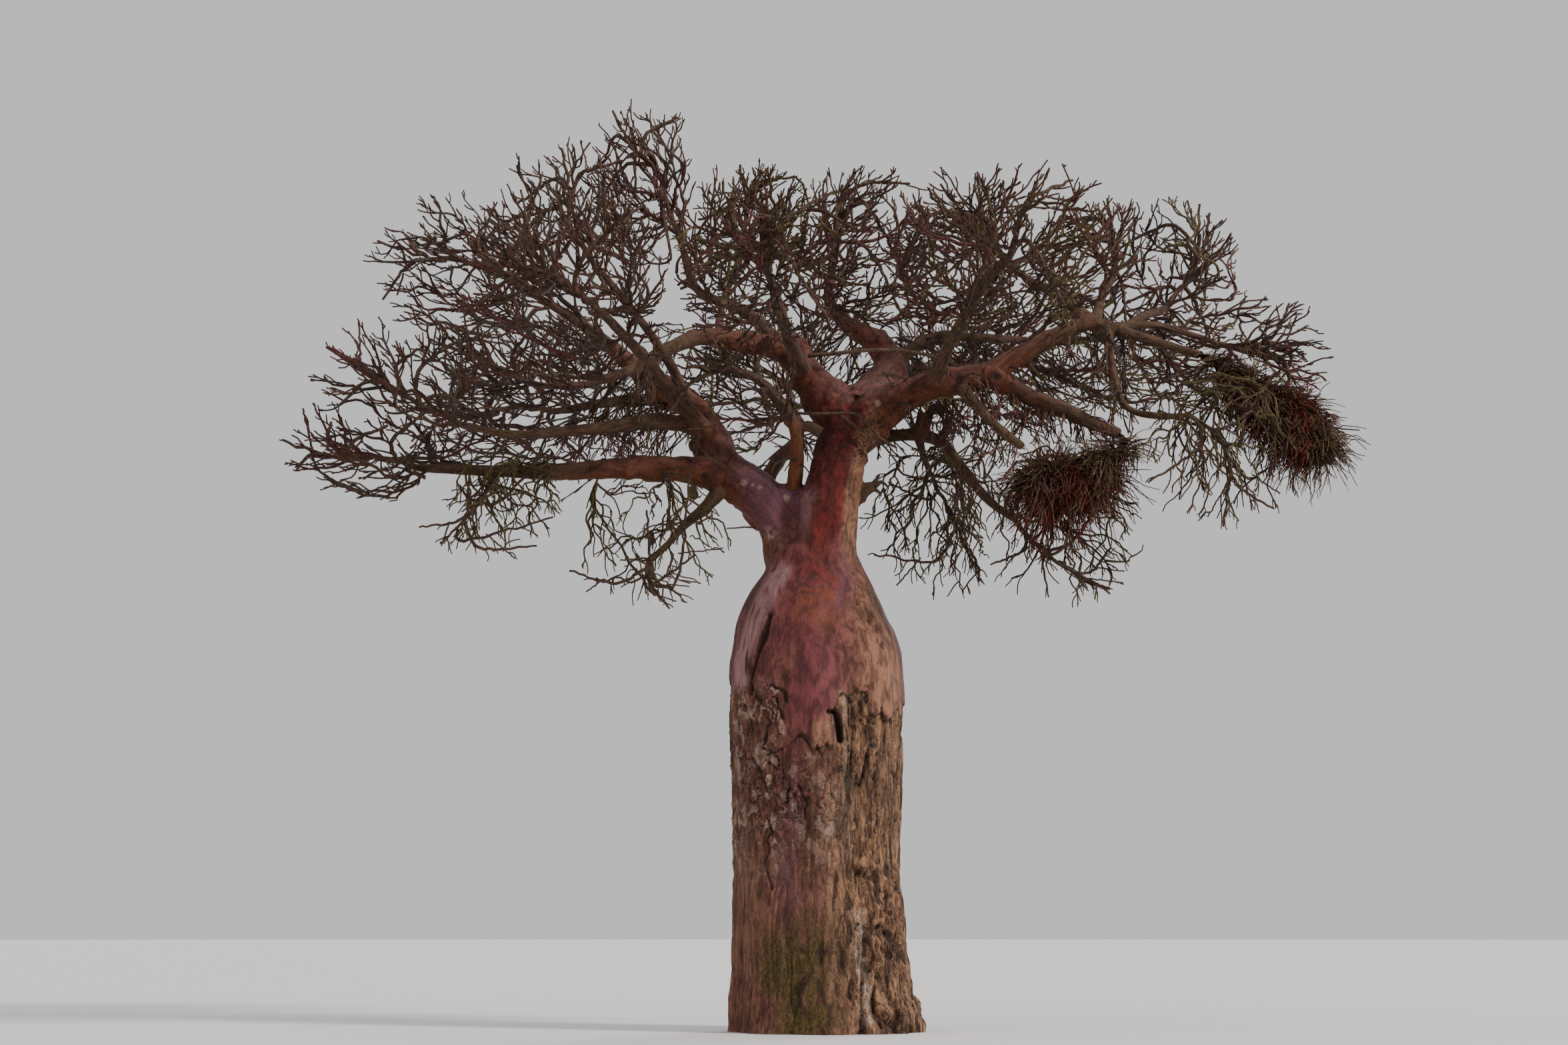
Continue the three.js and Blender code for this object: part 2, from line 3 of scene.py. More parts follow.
import bmesh
import bpy
import numpy as np
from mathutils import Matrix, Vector


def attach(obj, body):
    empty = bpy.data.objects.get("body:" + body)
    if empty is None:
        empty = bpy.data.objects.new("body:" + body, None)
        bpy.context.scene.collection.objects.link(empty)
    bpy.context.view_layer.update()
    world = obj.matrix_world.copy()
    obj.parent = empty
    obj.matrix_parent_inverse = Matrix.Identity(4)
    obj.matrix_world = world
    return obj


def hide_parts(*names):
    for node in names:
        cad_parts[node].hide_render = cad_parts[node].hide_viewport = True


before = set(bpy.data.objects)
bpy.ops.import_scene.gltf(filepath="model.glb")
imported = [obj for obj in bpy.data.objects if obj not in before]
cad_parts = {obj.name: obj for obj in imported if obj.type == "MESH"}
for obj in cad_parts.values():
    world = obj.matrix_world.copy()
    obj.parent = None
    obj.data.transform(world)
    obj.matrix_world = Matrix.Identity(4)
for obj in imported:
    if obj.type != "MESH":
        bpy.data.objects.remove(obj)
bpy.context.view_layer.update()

# Metres. +X is right and +Y is away as seen from the front, and +Z is up

# Camera: its place in front of the tree, its upward tilt and its focal length in photo pixels
EYE_PLACE = (-0.49, -42.0, 1.5)
TILT_UP = 8.364
FOCAL_PIXELS = 4156
PHOTO_WIDE = 2352
SENSOR_WIDE = 36

# What touches keeps the first distance, and what grows on its own the second from other limbs
GAP = 0.0003
CLEARANCE = 0.015

# Trunk: height, radius and sideways place of the middle
TRUNK_LEVELS = (
    (0, 1.49, 0.14),
    (0.4, 1.385, 0.08),
    (1, 1.325, 0.065),
    (1.7, 1.295, 0.045),
    (2.5, 1.265, 0.02),
    (3.4, 1.28, 0.02),
    (4.3, 1.305, 0.015),
    (5, 1.325, 0.005),
    (5.6, 1.293, -0.01),
    (6.05, 1.178, -0.045),
    (6.43, 1.035, -0.04),
    (6.72, 0.895, -0.035),
    (6.95, 0.755, -0.045),
    (7.18, 0.66, -0.08),
    (7.34, 0.5, -0.08),
    (7.42, 0.26, -0.08),
)
TRUNK_LOBES = 8
LOBE_AT_FOOT = 0.045
LOBE_ABOVE = 0.018
FOOT_HEIGHT = 1.4

# Limbs: name, radius at the root and at the tip, taper, and the bends of the line they follow
LIMBS = (
    ("stem_left", 0.43, 0.33, 1.0, (
        (-0.29, 0.1, 7.01), (-0.6, 0.1, 7.63), (-0.87, 0.05, 8.06), (-1.23, 0, 8.34),
        (-1.56, 0, 8.56))),
    ("stem_right", 0.46, 0.4, 1.0, (
        (0.12, -0.25, 6.86), (0.16, -0.25, 7.47), (0.26, -0.25, 8.14), (0.41, -0.2, 8.82),
        (0.54, -0.15, 9.3))),
    ("stem_middle", 0.135, 0.1, 1.0, (
        (-0.45, 0.08, 7.5), (-0.34, -0.12, 8.2), (-0.29, -0.42, 8.65), (-0.33, -0.65, 9.05),
        (-0.6, -0.85, 9.45))),
    ("bough_left_low", 0.215, 0.06, 1.0, (
        (-1.38, -0.04, 8.43), (-1.97, -0.4, 8.43), (-2.76, -0.8, 8.39), (-3.93, -1.2, 8.26),
        (-4.9, -1.5, 8.23), (-5.9, -1.7, 8.24))),
    ("spur_left_low", 0.06, 0.04, 1.0, (
        (-4.75, -1.45, 8.23), (-4.83, -1.6, 8.05), (-4.88, -1.78, 7.85))),
    ("bough_left_rising", 0.275, 0.06, 1.2, (
        (-1.48, 0, 8.5), (-1.75, 0.15, 9.26), (-2.08, 0.3, 9.67), (-2.7, 0.6, 10.12),
        (-3.17, 0.8, 10.54), (-3.83, 1, 11.09), (-4.58, 1, 11.55))),
    ("fork_left_rising", 0.095, 0.05, 1.0, (
        (-1.95, 0.22, 9.52), (-2.17, -0.2, 9.97), (-2.56, -0.9, 10.5), (-3.3, -1.45, 11.35))),
    ("bough_left_level", 0.13, 0.05, 1.0, (
        (-1.7, 0.05, 9.12), (-2.28, -0.5, 9.16), (-2.94, -1.2, 8.96), (-3.68, -1.9, 8.75),
        (-4.5, -2.4, 8.62), (-5.15, -2.6, 8.72))),
    ("bough_left_hanging", 0.115, 0.06, 1.0, (
        (-1.35, -0.05, 8.3), (-1.7, -0.35, 7.85), (-2.03, -0.6, 7.53), (-2.26, -0.8, 7.22),
        (-2.48, -0.95, 6.98))),
    ("bough_left_rear", 0.12, 0.06, 1.0, (
        (-1.9, 0.25, 9.5), (-2.66, 1.1, 9.8), (-3.46, 2, 9.91), (-4.2, 2.8, 9.94))),
    ("bough_left_front", 0.13, 0.06, 1.0, (
        (-1.62, 0, 9), (-2.16, -1, 9.5), (-2.6, -2.2, 9.86), (-3.06, -3.3, 10.19))),
    ("bough_rear_centre", 0.14, 0.06, 1.0, (
        (-0.9, 0.15, 8.15), (-0.57, 0.9, 8.8), (-0.3, 1.8, 9.25), (-0.25, 2.9, 9.75), (-0.4, 4, 10.3))),
    ("bough_fork", 0.3, 0.24, 1.0, (
        (0.45, -0.1, 9.15), (0.06, -0.02, 9.72), (-0.2, 0.06, 10.08), (-0.43, 0.14, 10.48))),
    ("bough_fork_left", 0.17, 0.06, 1.0, (
        (-0.4, 0.12, 10.38), (-1.07, 0.2, 10.55), (-1.69, 0.1, 10.6), (-2.24, -0.4, 10.32),
        (-2.86, -0.9, 9.85), (-3.5, -1.25, 9.56))),
    ("shoot_fork", 0.075, 0.045, 1.0, (
        (-1.5, 0.16, 10.6), (-1.48, 0.8, 11.2), (-1.25, 1.5, 12.1))),
    ("leader_top", 0.12, 0.04, 1.0, (
        (-0.48, 0.25, 10.42), (-1.08, 0.9, 11.16), (-1.88, 1.1, 11.6), (-2.13, 1.1, 12.34),
        (-2.36, 1, 12.95))),
    ("bough_front_centre", 0.12, 0.06, 1.0, (
        (-0.15, 0, 9.95), (-0.4, -1.1, 10.29), (-0.6, -2.3, 10.64), (-0.74, -3.5, 10.85))),
    ("bough_upright", 0.39, 0.075, 1.5, (
        (0.69, 0.1, 9.3), (1.04, 0.5, 9.83), (1.18, 0.76, 10.23), (1.01, 1.08, 10.68),
        (0.52, 1.6, 11.14), (0.25, 1.95, 11.6), (0.3, 2.15, 12.25))),
    ("branch_upright_right", 0.115, 0.06, 1.0, (
        (1.15, 0.78, 10.3), (1.95, 1.3, 10.85), (2.7, 1.95, 10.98), (3.7, 2.7, 11.1))),
    ("bough_rear_right", 0.14, 0.06, 1.0, (
        (1.15, 0.7, 10.05), (1.6, 2.2, 10.5), (2.4, 3.8, 10.9))),
    ("bough_right_long", 0.32, 0.065, 1.5, (
        (0.5, -0.2, 9), (1.18, -0.48, 9.44), (1.78, -0.7, 9.69), (2.48, -0.8, 9.78),
        (3.1, -0.8, 10.13), (3.7, -0.8, 10.46), (4.21, -0.8, 10.61), (4.8, -0.9, 10.41),
        (5.77, -1.1, 10.06))),
    ("fork_right_upper", 0.07, 0.045, 1.0, (
        (4.5, -0.84, 10.54), (5.2, -0.55, 10.64), (6.05, -0.5, 10.4))),
    ("bough_right_low", 0.155, 0.09, 1.0, (
        (2.6, -0.8, 9.83), (3.22, -1.1, 9.42), (3.64, -1.4, 9.19), (4.09, -1.6, 8.93),
        (4.47, -1.7, 8.74))),
    ("stub_right", 0.1, 0.065, 1.0, (
        (2.1, -0.76, 9.74), (2.49, -1.3, 9.13), (2.76, -1.6, 8.78), (3.02, -1.8, 8.54))),
    ("bough_right_inner", 0.115, 0.06, 1.0, (
        (0.56, -0.1, 8.85), (1.15, 0.02, 9.02), (1.65, 0.06, 9.04), (1.96, 0, 8.9), (2.2, -0.3, 8.49),
        (2.62, -0.6, 7.91), (2.95, -0.8, 7.62))),
    ("spur_right_inner", 0.07, 0.045, 1.0, (
        (1.58, 0.06, 9.04), (1.68, 0.5, 8.8), (1.79, 0.8, 8.6))),
    ("bough_right_return", 0.105, 0.05, 1.0, (
        (4.15, -0.8, 10.6), (3.83, -0.6, 11.03), (3.29, -0.3, 11.41), (2.95, 0, 11.8))),
    ("fork_right_return", 0.08, 0.045, 1.0, (
        (4.23, -0.78, 10.64), (4.44, -0.2, 11.22), (4.65, 0.2, 11.55))),
    ("bough_right_dropping", 0.075, 0.045, 1.0, (
        (4.41, -0.82, 10.56), (4.45, -1.1, 9.89), (4.62, -1.4, 9.2), (5.13, -1.6, 9.03),
        (5.5, -1.75, 9.02))),
    ("bough_right_rising", 0.075, 0.045, 1.0, (
        (4.6, -0.86, 10.5), (5.05, -0.1, 10.88), (5.5, 0.5, 11.15), (5.7, 0.8, 11.45))),
    ("bough_right_front", 0.12, 0.06, 1.0, (
        (1.78, -0.69, 9.7), (1.9, -1.7, 9.96), (2.15, -2.8, 10.32), (2.4, -3.6, 10.63))),
)
LIMB_STEP = 0.65
FEWEST_STEPS = 3

# Masses of twigs: name, the limb they end, their lean upwards, and the middle, reach and furthest
# tip of their space
MASSES = (
    ("twigs_left_low", "bough_left_low", 0.25,
        (-6.3, -1.8, 8.6), (1.65, 1.4, 0.95), (-7.87, -1.8, 8.64)),
    ("twigs_left_level", "bough_left_level", 0.3,
        (-5.7, -2.65, 9.4), (1.72, 1.4, 1.1), (-7.09, -2.7, 9.86)),
    ("twigs_left_high", "bough_left_rising", 0.3,
        (-5.4, 1, 11.95), (1.78, 1.6, 1.28), (-6.97, 1, 12.36)),
    ("twigs_left_upper", "fork_left_rising", 0.4,
        (-3.7, -1.25, 11.9), (1.5, 1.5, 1.45), (-3.86, -1.3, 13.21)),
    ("twigs_top", "leader_top", 0.4,
        (-2.75, 1.05, 13.2), (1.08, 1.2, 1.54), (-3.24, 1, 14.5)),
    ("twigs_crown_left", "shoot_fork", 0.35,
        (-1.05, 1.55, 12.4), (1.42, 1.7, 1.48), (-1.2, 1.6, 13.78)),
    ("twigs_crown_middle", "bough_upright", 0.35,
        (0.8, 2.2, 12.45), (1.5, 1.7, 1.5), (0.67, 2.2, 13.88)),
    ("twigs_crown_right", "bough_right_return", 0.35,
        (2.35, 0.05, 11.85), (1.5, 1.65, 1.35), (1.95, 0, 13.02)),
    ("twigs_right_upper", "fork_right_return", 0.35,
        (4.2, 0.4, 11.65), (1.45, 1.5, 1.38), (4.6, 0.4, 12.9)),
    ("twigs_right_high", "bough_right_rising", 0.35,
        (5.65, 1.25, 11.8), (1.33, 1.5, 1.38), (6.19, 1.3, 13.04)),
    ("twigs_right_end", "fork_right_upper", 0.25,
        (6.45, -0.55, 10.2), (1.52, 1.3, 1), (7.5, -0.7, 10.35)),
    ("twigs_right_hanging", "bough_right_dropping", -0.45,
        (6, -1.8, 8.6), (1.45, 1.35, 1.33), (5.95, -1.8, 7.35)),
    ("twigs_under_nest", "bough_right_inner", -0.45,
        (3.7, -1.05, 7.45), (1.4, 1.25, 1.25), (4.37, -1, 6.45)),
    ("twigs_inner_hanging", "spur_right_inner", -0.5,
        (1.95, 0.75, 7.9), (1.3, 1.4, 1.38), (2.6, 0.8, 6.85)),
    ("twigs_left_hanging", "spur_left_low", -0.4,
        (-4.7, -1.8, 7.75), (1.4, 1.15, 0.93), (-5.53, -1.8, 7.1)),
    ("twigs_stub_hanging", "bough_left_hanging", -0.4,
        (-2.6, -1, 7.35), (1.35, 1.2, 1.22), (-2.19, -1, 6.23)),
    ("twigs_left_inner", "bough_fork_left", 0.2,
        (-4.2, -1.25, 10.1), (1.72, 1.55, 1.13), (-5.8, -1.4, 10.25)),
    ("twigs_rear_left", "bough_left_rear", 0.2,
        (-4.7, 3.3, 10.15), (2.4, 2.2, 1.45), (-6.8, 3.9, 10.2)),
    ("twigs_rear_middle", "bough_rear_centre", 0.25,
        (-0.5, 4.5, 10.9), (2.4, 2.15, 1.55), (-0.6, 6.5, 11.1)),
    ("twigs_rear_right", "bough_rear_right", 0.25,
        (2.9, 4.4, 11.1), (2.4, 2.15, 1.45), (3.3, 6.3, 11.5)),
    ("twigs_far_right", "branch_upright_right", 0.25,
        (4.85, 2.85, 11.05), (1.85, 1.85, 1.3), (6.3, 3.5, 11.5)),
    ("twigs_front_left", "bough_left_front", 0.25,
        (-3.45, -3.95, 10.6), (1.85, 2, 1.3), (-4.1, -5.6, 10.9)),
    ("twigs_front_middle", "bough_front_centre", 0.25,
        (-0.7, -4.15, 10.8), (1.85, 2, 1.25), (-0.7, -5.9, 11.1)),
    ("twigs_front_right", "bough_right_front", 0.25,
        (2.6, -4.2, 10.9), (1.85, 1.98, 1.3), (3, -5.95, 11.2)),
    ("twigs_middle", "stem_middle", 0.1,
        (-1.2, -1.15, 9.65), (1.25, 1.25, 1.05), (-1.95, -1.3, 9.85)),
)

# Nests: name, the limb they hang from, their longest stick's end, bends and radii
NESTS = (
    ("nest_low", "bough_right_low", (3.9, -1.48, 7.26),
        ((4.52, -1.69, 8.54), (4.26, -1.6, 8.33), (3.82, -1.5, 8.04), (3.35, -1.48, 7.98),
            (2.99, -1.48, 8.03)),
        (0.15, 0.33, 0.5, 0.43, 0.12)),
    ("nest_outer", "bough_right_long", (8.08, -1.4, 8.86),
        ((6, -1.15, 9.9), (6.4, -1.22, 9.56), (6.85, -1.32, 9.2), (7.22, -1.4, 8.83), (7.62, -1.42, 8.38)),
        (0.18, 0.29, 0.35, 0.43, 0.11)),
)
NEST_LUMPS = 0.13
# Kinds of tufts in a nest: how many, the sticks in each, their lengths, end radii, droop, how far they
# stand out, and the finishes that they have
NEST_TUFTS = (
    (100, 12, (0.3, 0.75), (0.0115, 0.006), 0.4, (0.1, 1.0), (1, 1, 2)),
    (80, 14, (0.2, 0.5), (0.0085, 0.005), 0.5, (0.2, 1.3), (1, 1, 2)),
    (70, 12, (0.25, 0.55), (0.0085, 0.005), 1.0, (0.1, 0.9), (1, 2, 2)),
)

# The source's rule for a mass: shoots run from its leader to even places of its skin
RIBS = 6
RIB_FILL = 0.94
FIRST_RIB_AT = 0.04
LAST_RIB_AT = 0.7
LEADER_STEPS = 3
RIB_STEPS = 2
RIB_THICKNESS = 0.62
THINNEST_RIB = 0.038
RIB_TIP = 0.02
BRANCHLETS_ON_LEADER = 2
BRANCHLETS_ON_RIB = 1
BRANCHLET_STEPS = 1
BRANCHLET_LENGTH = 0.5
BRANCHLET_THICKNESS = 0.62
BRANCHLET_TIP = 0.015
BRANCHLET_ANGLE = 0.95
GOLDEN_ANGLE = math.pi * (3 - math.sqrt(5))
KINK = 0.16
SHORTEST = 0.45
CELL_MARGIN = 0.06

# Finer growth within the same spaces: shoots towards more places, twigs on them and spurs on those
SHOOTS_TO_A_CUBE = 4.9
HANGING_SHOOTS = 1.35
THINNED = {
    "twigs_middle": 0.3, "twigs_rear_middle": 0.4, "twigs_left_upper": 0.65, "twigs_left_level": 0.65,
    "twigs_rear_left": 0.65, "twigs_left_inner": 0.55, "twigs_left_high": 0.75, "twigs_front_left": 0.8,
    "twigs_crown_right": 0.8, "twigs_right_end": 0.75, "twigs_front_right": 0.85, "twigs_rear_right": 0.85,
}
FEWEST_SHOOTS = 45
LEADING_SHOOTS = 0.2
SHOOT_POINTS = 9
HANGING_POINTS = 12
LEADING_ROOT = 0.031
SHOOT_ROOT = 0.024
SHOOT_TIP = 0.0145
LEADING_LENGTH = 1.15
SHOOT_LENGTH = 0.6
HANGING_LENGTH = 1.15
HANGING_THINNER = 0.78
SHOOT_WAVE = 0.04
HANGING_WAVE = 0.06
LONGEST_SHOOT = 2.2
SHOOT_SCATTER = 0.55
TWIG_SPACING = 0.29
TWIG_LENGTH = (0.3, 0.8)
HANGING_TWIG_LENGTH = (0.2, 0.6)
HANGING_TWIG_SPACING = 0.6
TWIG_POINTS = 6
TWIG_ROOT = 0.017
TWIG_TIP = 0.013
SPUR_LENGTH = (0.1, 0.24)
SPURS_TO_A_TWIG = 2
TWIG_WAVE = 0.07
BUD_SPACING = 0.055
WITHOUT_TWIGS = ("stem_left", "stem_right", "bough_right_front", "bough_front_centre")
BOUGH_TWIG_LENGTH = (0.35, 1.15)
BOUGH_TWIG_POINTS = 10
BOUGH_TWIG_ENDS = (0.015, 0.0105)
SPUR_ROOT = 0.0135
SPUR_TIP = 0.0115
SPRAY_TONES = 5
MOST_TRIANGLES = 190000

# Bark: the spacing of the skin's vertices, and the flare of a limb where it leaves another
SKIN_SPACING = 0.022
FLARE = 0.28
STEM_FLARE = 0.04
LINE_SPACING = 0.12

# Stubs and knobs on the stems and boughs: radius at the root and at the tip, and bends
KNOBS = (
    (0.24, 0.26, ((-1.15, 0.05, 8.12), (-0.76, 0.05, 8.06), (-0.35, 0.0, 8.01), (-0.09, -0.1, 7.91))),
    (0.2, 0.22, ((-0.86, 0.05, 7.62), (-0.45, 0.0, 7.61), (-0.09, -0.1, 7.58))),
    (0.15, 0.085, ((0.61, -0.2, 8.02), (0.74, -0.3, 8.13), (0.9, -0.36, 8.19))),
    (0.13, 0.12, ((1.56, 0, 9.01), (1.65, -0.1, 9.2), (1.68, -0.12, 9.36))),
    (0.09, 0.075, ((1.72, -0.1, 9.38), (1.86, -0.12, 9.44), (1.97, -0.1, 9.34))),
    (0.075, 0.07, ((1.99, -0.08, 9.28), (2.02, -0.08, 9.13), (1.93, -0.1, 8.99))),
    (0.21, 0.2, ((-0.28, 0.1, 10.45), (-0.53, 0.0, 10.45), (-0.73, -0.06, 10.4))),
    (0.08, 0.07, ((0.77, -0.5, 9.08), (0.95, -0.55, 9.36), (0.99, -0.6, 9.43))),
    (0.1, 0.08, ((-2.54, -0.7, 7.41), (-2.51, -0.75, 7.32), (-2.47, -0.78, 7.24))),
    (0.09, 0.07, ((-1.87, -0.3, 8.02), (-1.88, -0.35, 8.09), (-1.91, -0.38, 8.17))),
    (0.1, 0.085, ((0.06, -0.6, 8.96), (-0.09, -0.65, 9.05), (-0.18, -0.62, 9.06))),
)
# Thin branches that cross the stems, and splinters, in the same way
LOOSE_BRANCHES = (
    (0.036, 0.024, (
        (-0.12, -0.3, 10.22), (0.32, -0.42, 10.23), (0.72, -0.35, 10.29), (1.41, -0.1, 10.33),
        (2.01, 0.1, 10.23), (2.34, 0.2, 10.09))),
    (0.024, 0.018, (
        (-0.49, -0.55, 9.3), (-0.15, -0.75, 9.23), (0.26, -0.78, 9.23), (0.61, -0.75, 9.22),
        (0.94, -0.7, 8.89), (1.22, -0.5, 8.75))),
    (0.02, 0.014, ((0.38, -0.77, 9.2), (0.66, -0.76, 8.98), (0.97, -0.6, 8.81), (1.28, -0.4, 8.48))),
    (0.017, 0.012, ((-0.93, -0.1, 7.58), (-1.08, -0.3, 7.56), (-1.25, -0.4, 7.53), (-1.36, -0.45, 7.52))),
    (0.05, 0.012, ((0.9, -0.36, 8.19), (0.99, -0.38, 8.24), (1.1, -0.4, 8.16))),
    (0.045, 0.012, ((0.87, -0.33, 8.15), (0.95, -0.36, 8.09), (0.99, -0.38, 8.03))),
    (0.045, 0.012, ((0.87, -0.36, 8.21), (0.93, -0.4, 8.3), (0.97, -0.42, 8.36))),
)

UP = np.array((0.0, 0.0, 1.0))


# Lines and their frames

def unit(ways):
    """The same ways, each with a length of 1"""
    long = np.linalg.norm(ways, axis=-1, keepdims=True)
    return ways / np.maximum(long, 1e-12)


def smooth_places(bends, shares):
    """Places on a smooth line through the bends, at shares of its run from bend to bend"""
    bends = np.asarray(bends, float)
    ends = np.vstack((2 * bends[0] - bends[1], bends, 2 * bends[-1] - bends[-2]))
    run = np.clip(np.asarray(shares) * (len(bends) - 1), 0, len(bends) - 1)
    first = np.minimum(run.astype(int), len(bends) - 2)
    part = (run - first)[:, None]
    p0, p1, p2, p3 = (ends[first + step] for step in range(4))
    d0, d1, d2 = (np.sqrt(np.linalg.norm(b - a, axis=1))[:, None] for a, b in ((p0, p1), (p1, p2), (p2, p3)))
    leave = ((p1 - p0) / d0 - (p2 - p0) / (d0 + d1) + (p2 - p1) / d1) * d1
    meet = ((p2 - p1) / d1 - (p3 - p1) / (d1 + d2) + (p3 - p2) / d2) * d1
    bend = -3 * p1 + 3 * p2 - 2 * leave - meet
    turn = 2 * p1 - 2 * p2 + leave + meet
    return p1 + leave * part + bend * part ** 2 + turn * part ** 3


def smooth_line(bends, steps):
    """Evenly spaced points along a smooth line through the bends"""
    shares = np.linspace(0, 1, 201)
    dense = smooth_places(bends, shares)
    run = np.concatenate(([0], np.cumsum(np.linalg.norm(np.diff(dense, axis=0), axis=1))))
    return smooth_places(bends, np.interp(np.linspace(0, run[-1], steps + 1), run, shares))


def line_length(points):
    return np.linalg.norm(np.diff(points, axis=0), axis=1).sum()


def limb_line(bends, root, tip, taper, spacing, fewest):
    steps = max(fewest, round(line_length(smooth_line(bends, 200)) / spacing))
    points = smooth_line(bends, steps)
    radii = tip + (root - tip) * (1 - np.arange(steps + 1) / steps) ** taper
    return points, radii


# A smooth noise from -1 to 1, its lumps about as wide as size, which may differ by direction
def cloud(places, size, seed, octaves=1):
    total = np.zeros(len(places))
    weight = 0
    for octave in range(octaves):
        grid = places / (np.asarray(size, float) / 2 ** octave) + 7.31 * seed
        cell = np.floor(grid).astype(np.int64)
        part = grid - cell
        part = part * part * (3 - 2 * part)
        mixed = np.zeros(len(places))
        for corner in np.ndindex(2, 2, 2):
            near = cell + corner
            key = near[:, 0] * 73856093 ^ near[:, 1] * 19349663 ^ near[:, 2] * 83492791
            key = key ^ (seed + 31 * octave) * 50331653
            key = (key ^ key >> 13) * 1274126177 & 0x7FFFFFFF
            value = ((key ^ key >> 15) & 0xFFFF) / 32767.5 - 1
            share = np.prod(np.where(corner, part, 1 - part), axis=1)
            mixed += value * share
        total += mixed / 1.7 ** octave
        weight += 1 / 1.7 ** octave
    return total / weight


def ramp(values, low, high):
    part = np.clip((values - low) / (high - low), 0, 1)
    return part * part * (3 - 2 * part)


# The rule's parts

class Dice:
    """A repeatable row of even random numbers from 0 to 1"""

    def __init__(self, seed):
        self.state = seed % 2147483647
        for _ in range(3):
            self.roll()

    def roll(self):
        self.state = self.state * 16807 % 2147483647
        return self.state / 2147483647


LIMB_LINES = {
    name: limb_line(bends, root, tip, taper, LIMB_STEP, FEWEST_STEPS)
    for name, root, tip, taper, bends in LIMBS
}
MIDDLES = np.array([mass[3] for mass in MASSES])
REACHES = np.array([mass[4] for mass in MASSES])


def obstacle_stretches():
    """Ends, radii and limb of every straight stretch that twigs keep clear of"""
    heights, radii, sides = np.array(TRUNK_LEVELS).T
    bodies = [("trunk", np.c_[sides, 0 * sides, heights], radii)]
    bodies += [(name, *line) for name, line in LIMB_LINES.items()]
    bodies += [(name, np.array(line), np.array(wide) * (1 + NEST_LUMPS)) for name, _, _, line, wide in NESTS]
    rows = []
    for name, points, wide in bodies:
        for index in range(1, len(points)):
            last = index == len(points) - 1
            rows.append((name, last, points[index - 1], points[index], wide[index - 1], wide[index]))
    return rows


STRETCHES = obstacle_stretches()
STRETCH_NAMES = np.array([row[0] for row in STRETCHES])
STRETCH_LAST = np.array([row[1] for row in STRETCHES])
STRETCH_FROM = np.array([row[2] for row in STRETCHES])
STRETCH_WAY = np.array([row[3] - row[2] for row in STRETCHES])
STRETCH_RADII = np.array([row[4:6] for row in STRETCHES])


NOTHING_SPARED = np.zeros(len(STRETCHES), bool)


def owned(number, places):
    """Whether places lie in a mass's own space, or, without a number, in no mass's space"""
    depth = np.linalg.norm((places[:, None] - MIDDLES) / REACHES, axis=2)
    if number is None:
        return depth.min(axis=1) > 1
    own = depth[:, number].copy()
    depth[:, number] = np.inf
    return (own <= 1) & (depth.min(axis=1) > own + CELL_MARGIN)


def touching(places, radius, spared):
    """Whether places are within a radius of a limb, a nest or the trunk, apart from the spared stretches"""
    reach = places[:, None] - STRETCH_FROM
    share = (reach * STRETCH_WAY).sum(2) / (STRETCH_WAY ** 2).sum(1)
    share = np.clip(share, 0, 1)
    gap = np.linalg.norm(reach - share[..., None] * STRETCH_WAY, axis=2)
    thick = STRETCH_RADII[:, 0] + (STRETCH_RADII[:, 1] - STRETCH_RADII[:, 0]) * share
    near = gap < thick + radius + CLEARANCE
    near[:, spared] = False
    return near.any(axis=1)


def shoot_line(number, start, heading, target, steps, radius, roll):
    """A shoot's points along a bent line, as far as its space and the limbs allow"""
    spared = (STRETCH_NAMES == MASSES[number][1]) & STRETCH_LAST
    long = np.linalg.norm(target - start)
    bend = start + heading * long * 0.45
    points = [start]
    for step in range(1, steps + 1):
        t = step / steps
        place = (1 - t) ** 2 * start + 2 * t * (1 - t) * bend + t * t * target
        wander = long * KINK / steps * (step < steps)
        place = place + wander * (2 * np.array([roll(), roll(), roll()]) - 1)
        if not owned(number, place[None])[0] or touching(place[None], radius, spared)[0]:
            break
        points.append(place)
    return np.array(points)


def even_direction(index, count):
    """One of a count of directions that are spread evenly over a ball"""
    height = 1 - 2 * (index + 0.5) / count
    wide = np.sqrt(1 - height * height)
    turn = GOLDEN_ANGLE * index
    return np.array((wide * np.cos(turn), wide * np.sin(turn), height)).T


def edge_of(number, direction):
    """The furthest place of a mass's own space that way from its middle"""
    share = RIB_FILL
    while share > 0.2:
        place = MIDDLES[number] + REACHES[number] * direction * share
        if owned(number, place[None])[0]:
            break
        share -= 0.04
    return place


def place_at(points, share):
    """The place at a share of a line's run, and the line's heading there"""
    run = share * (len(points) - 1)
    index = min(int(run), len(points) - 2)
    heading = unit(points[index + 1] - points[index])
    return points[index] + (points[index + 1] - points[index]) * (run - index), heading


def turned(way, axis, angle):
    """A way turned round an axis"""
    cos, sin = math.cos(angle), math.sin(angle)
    return way * cos + np.cross(axis, way) * sin + axis * axis.dot(way) * (1 - cos)


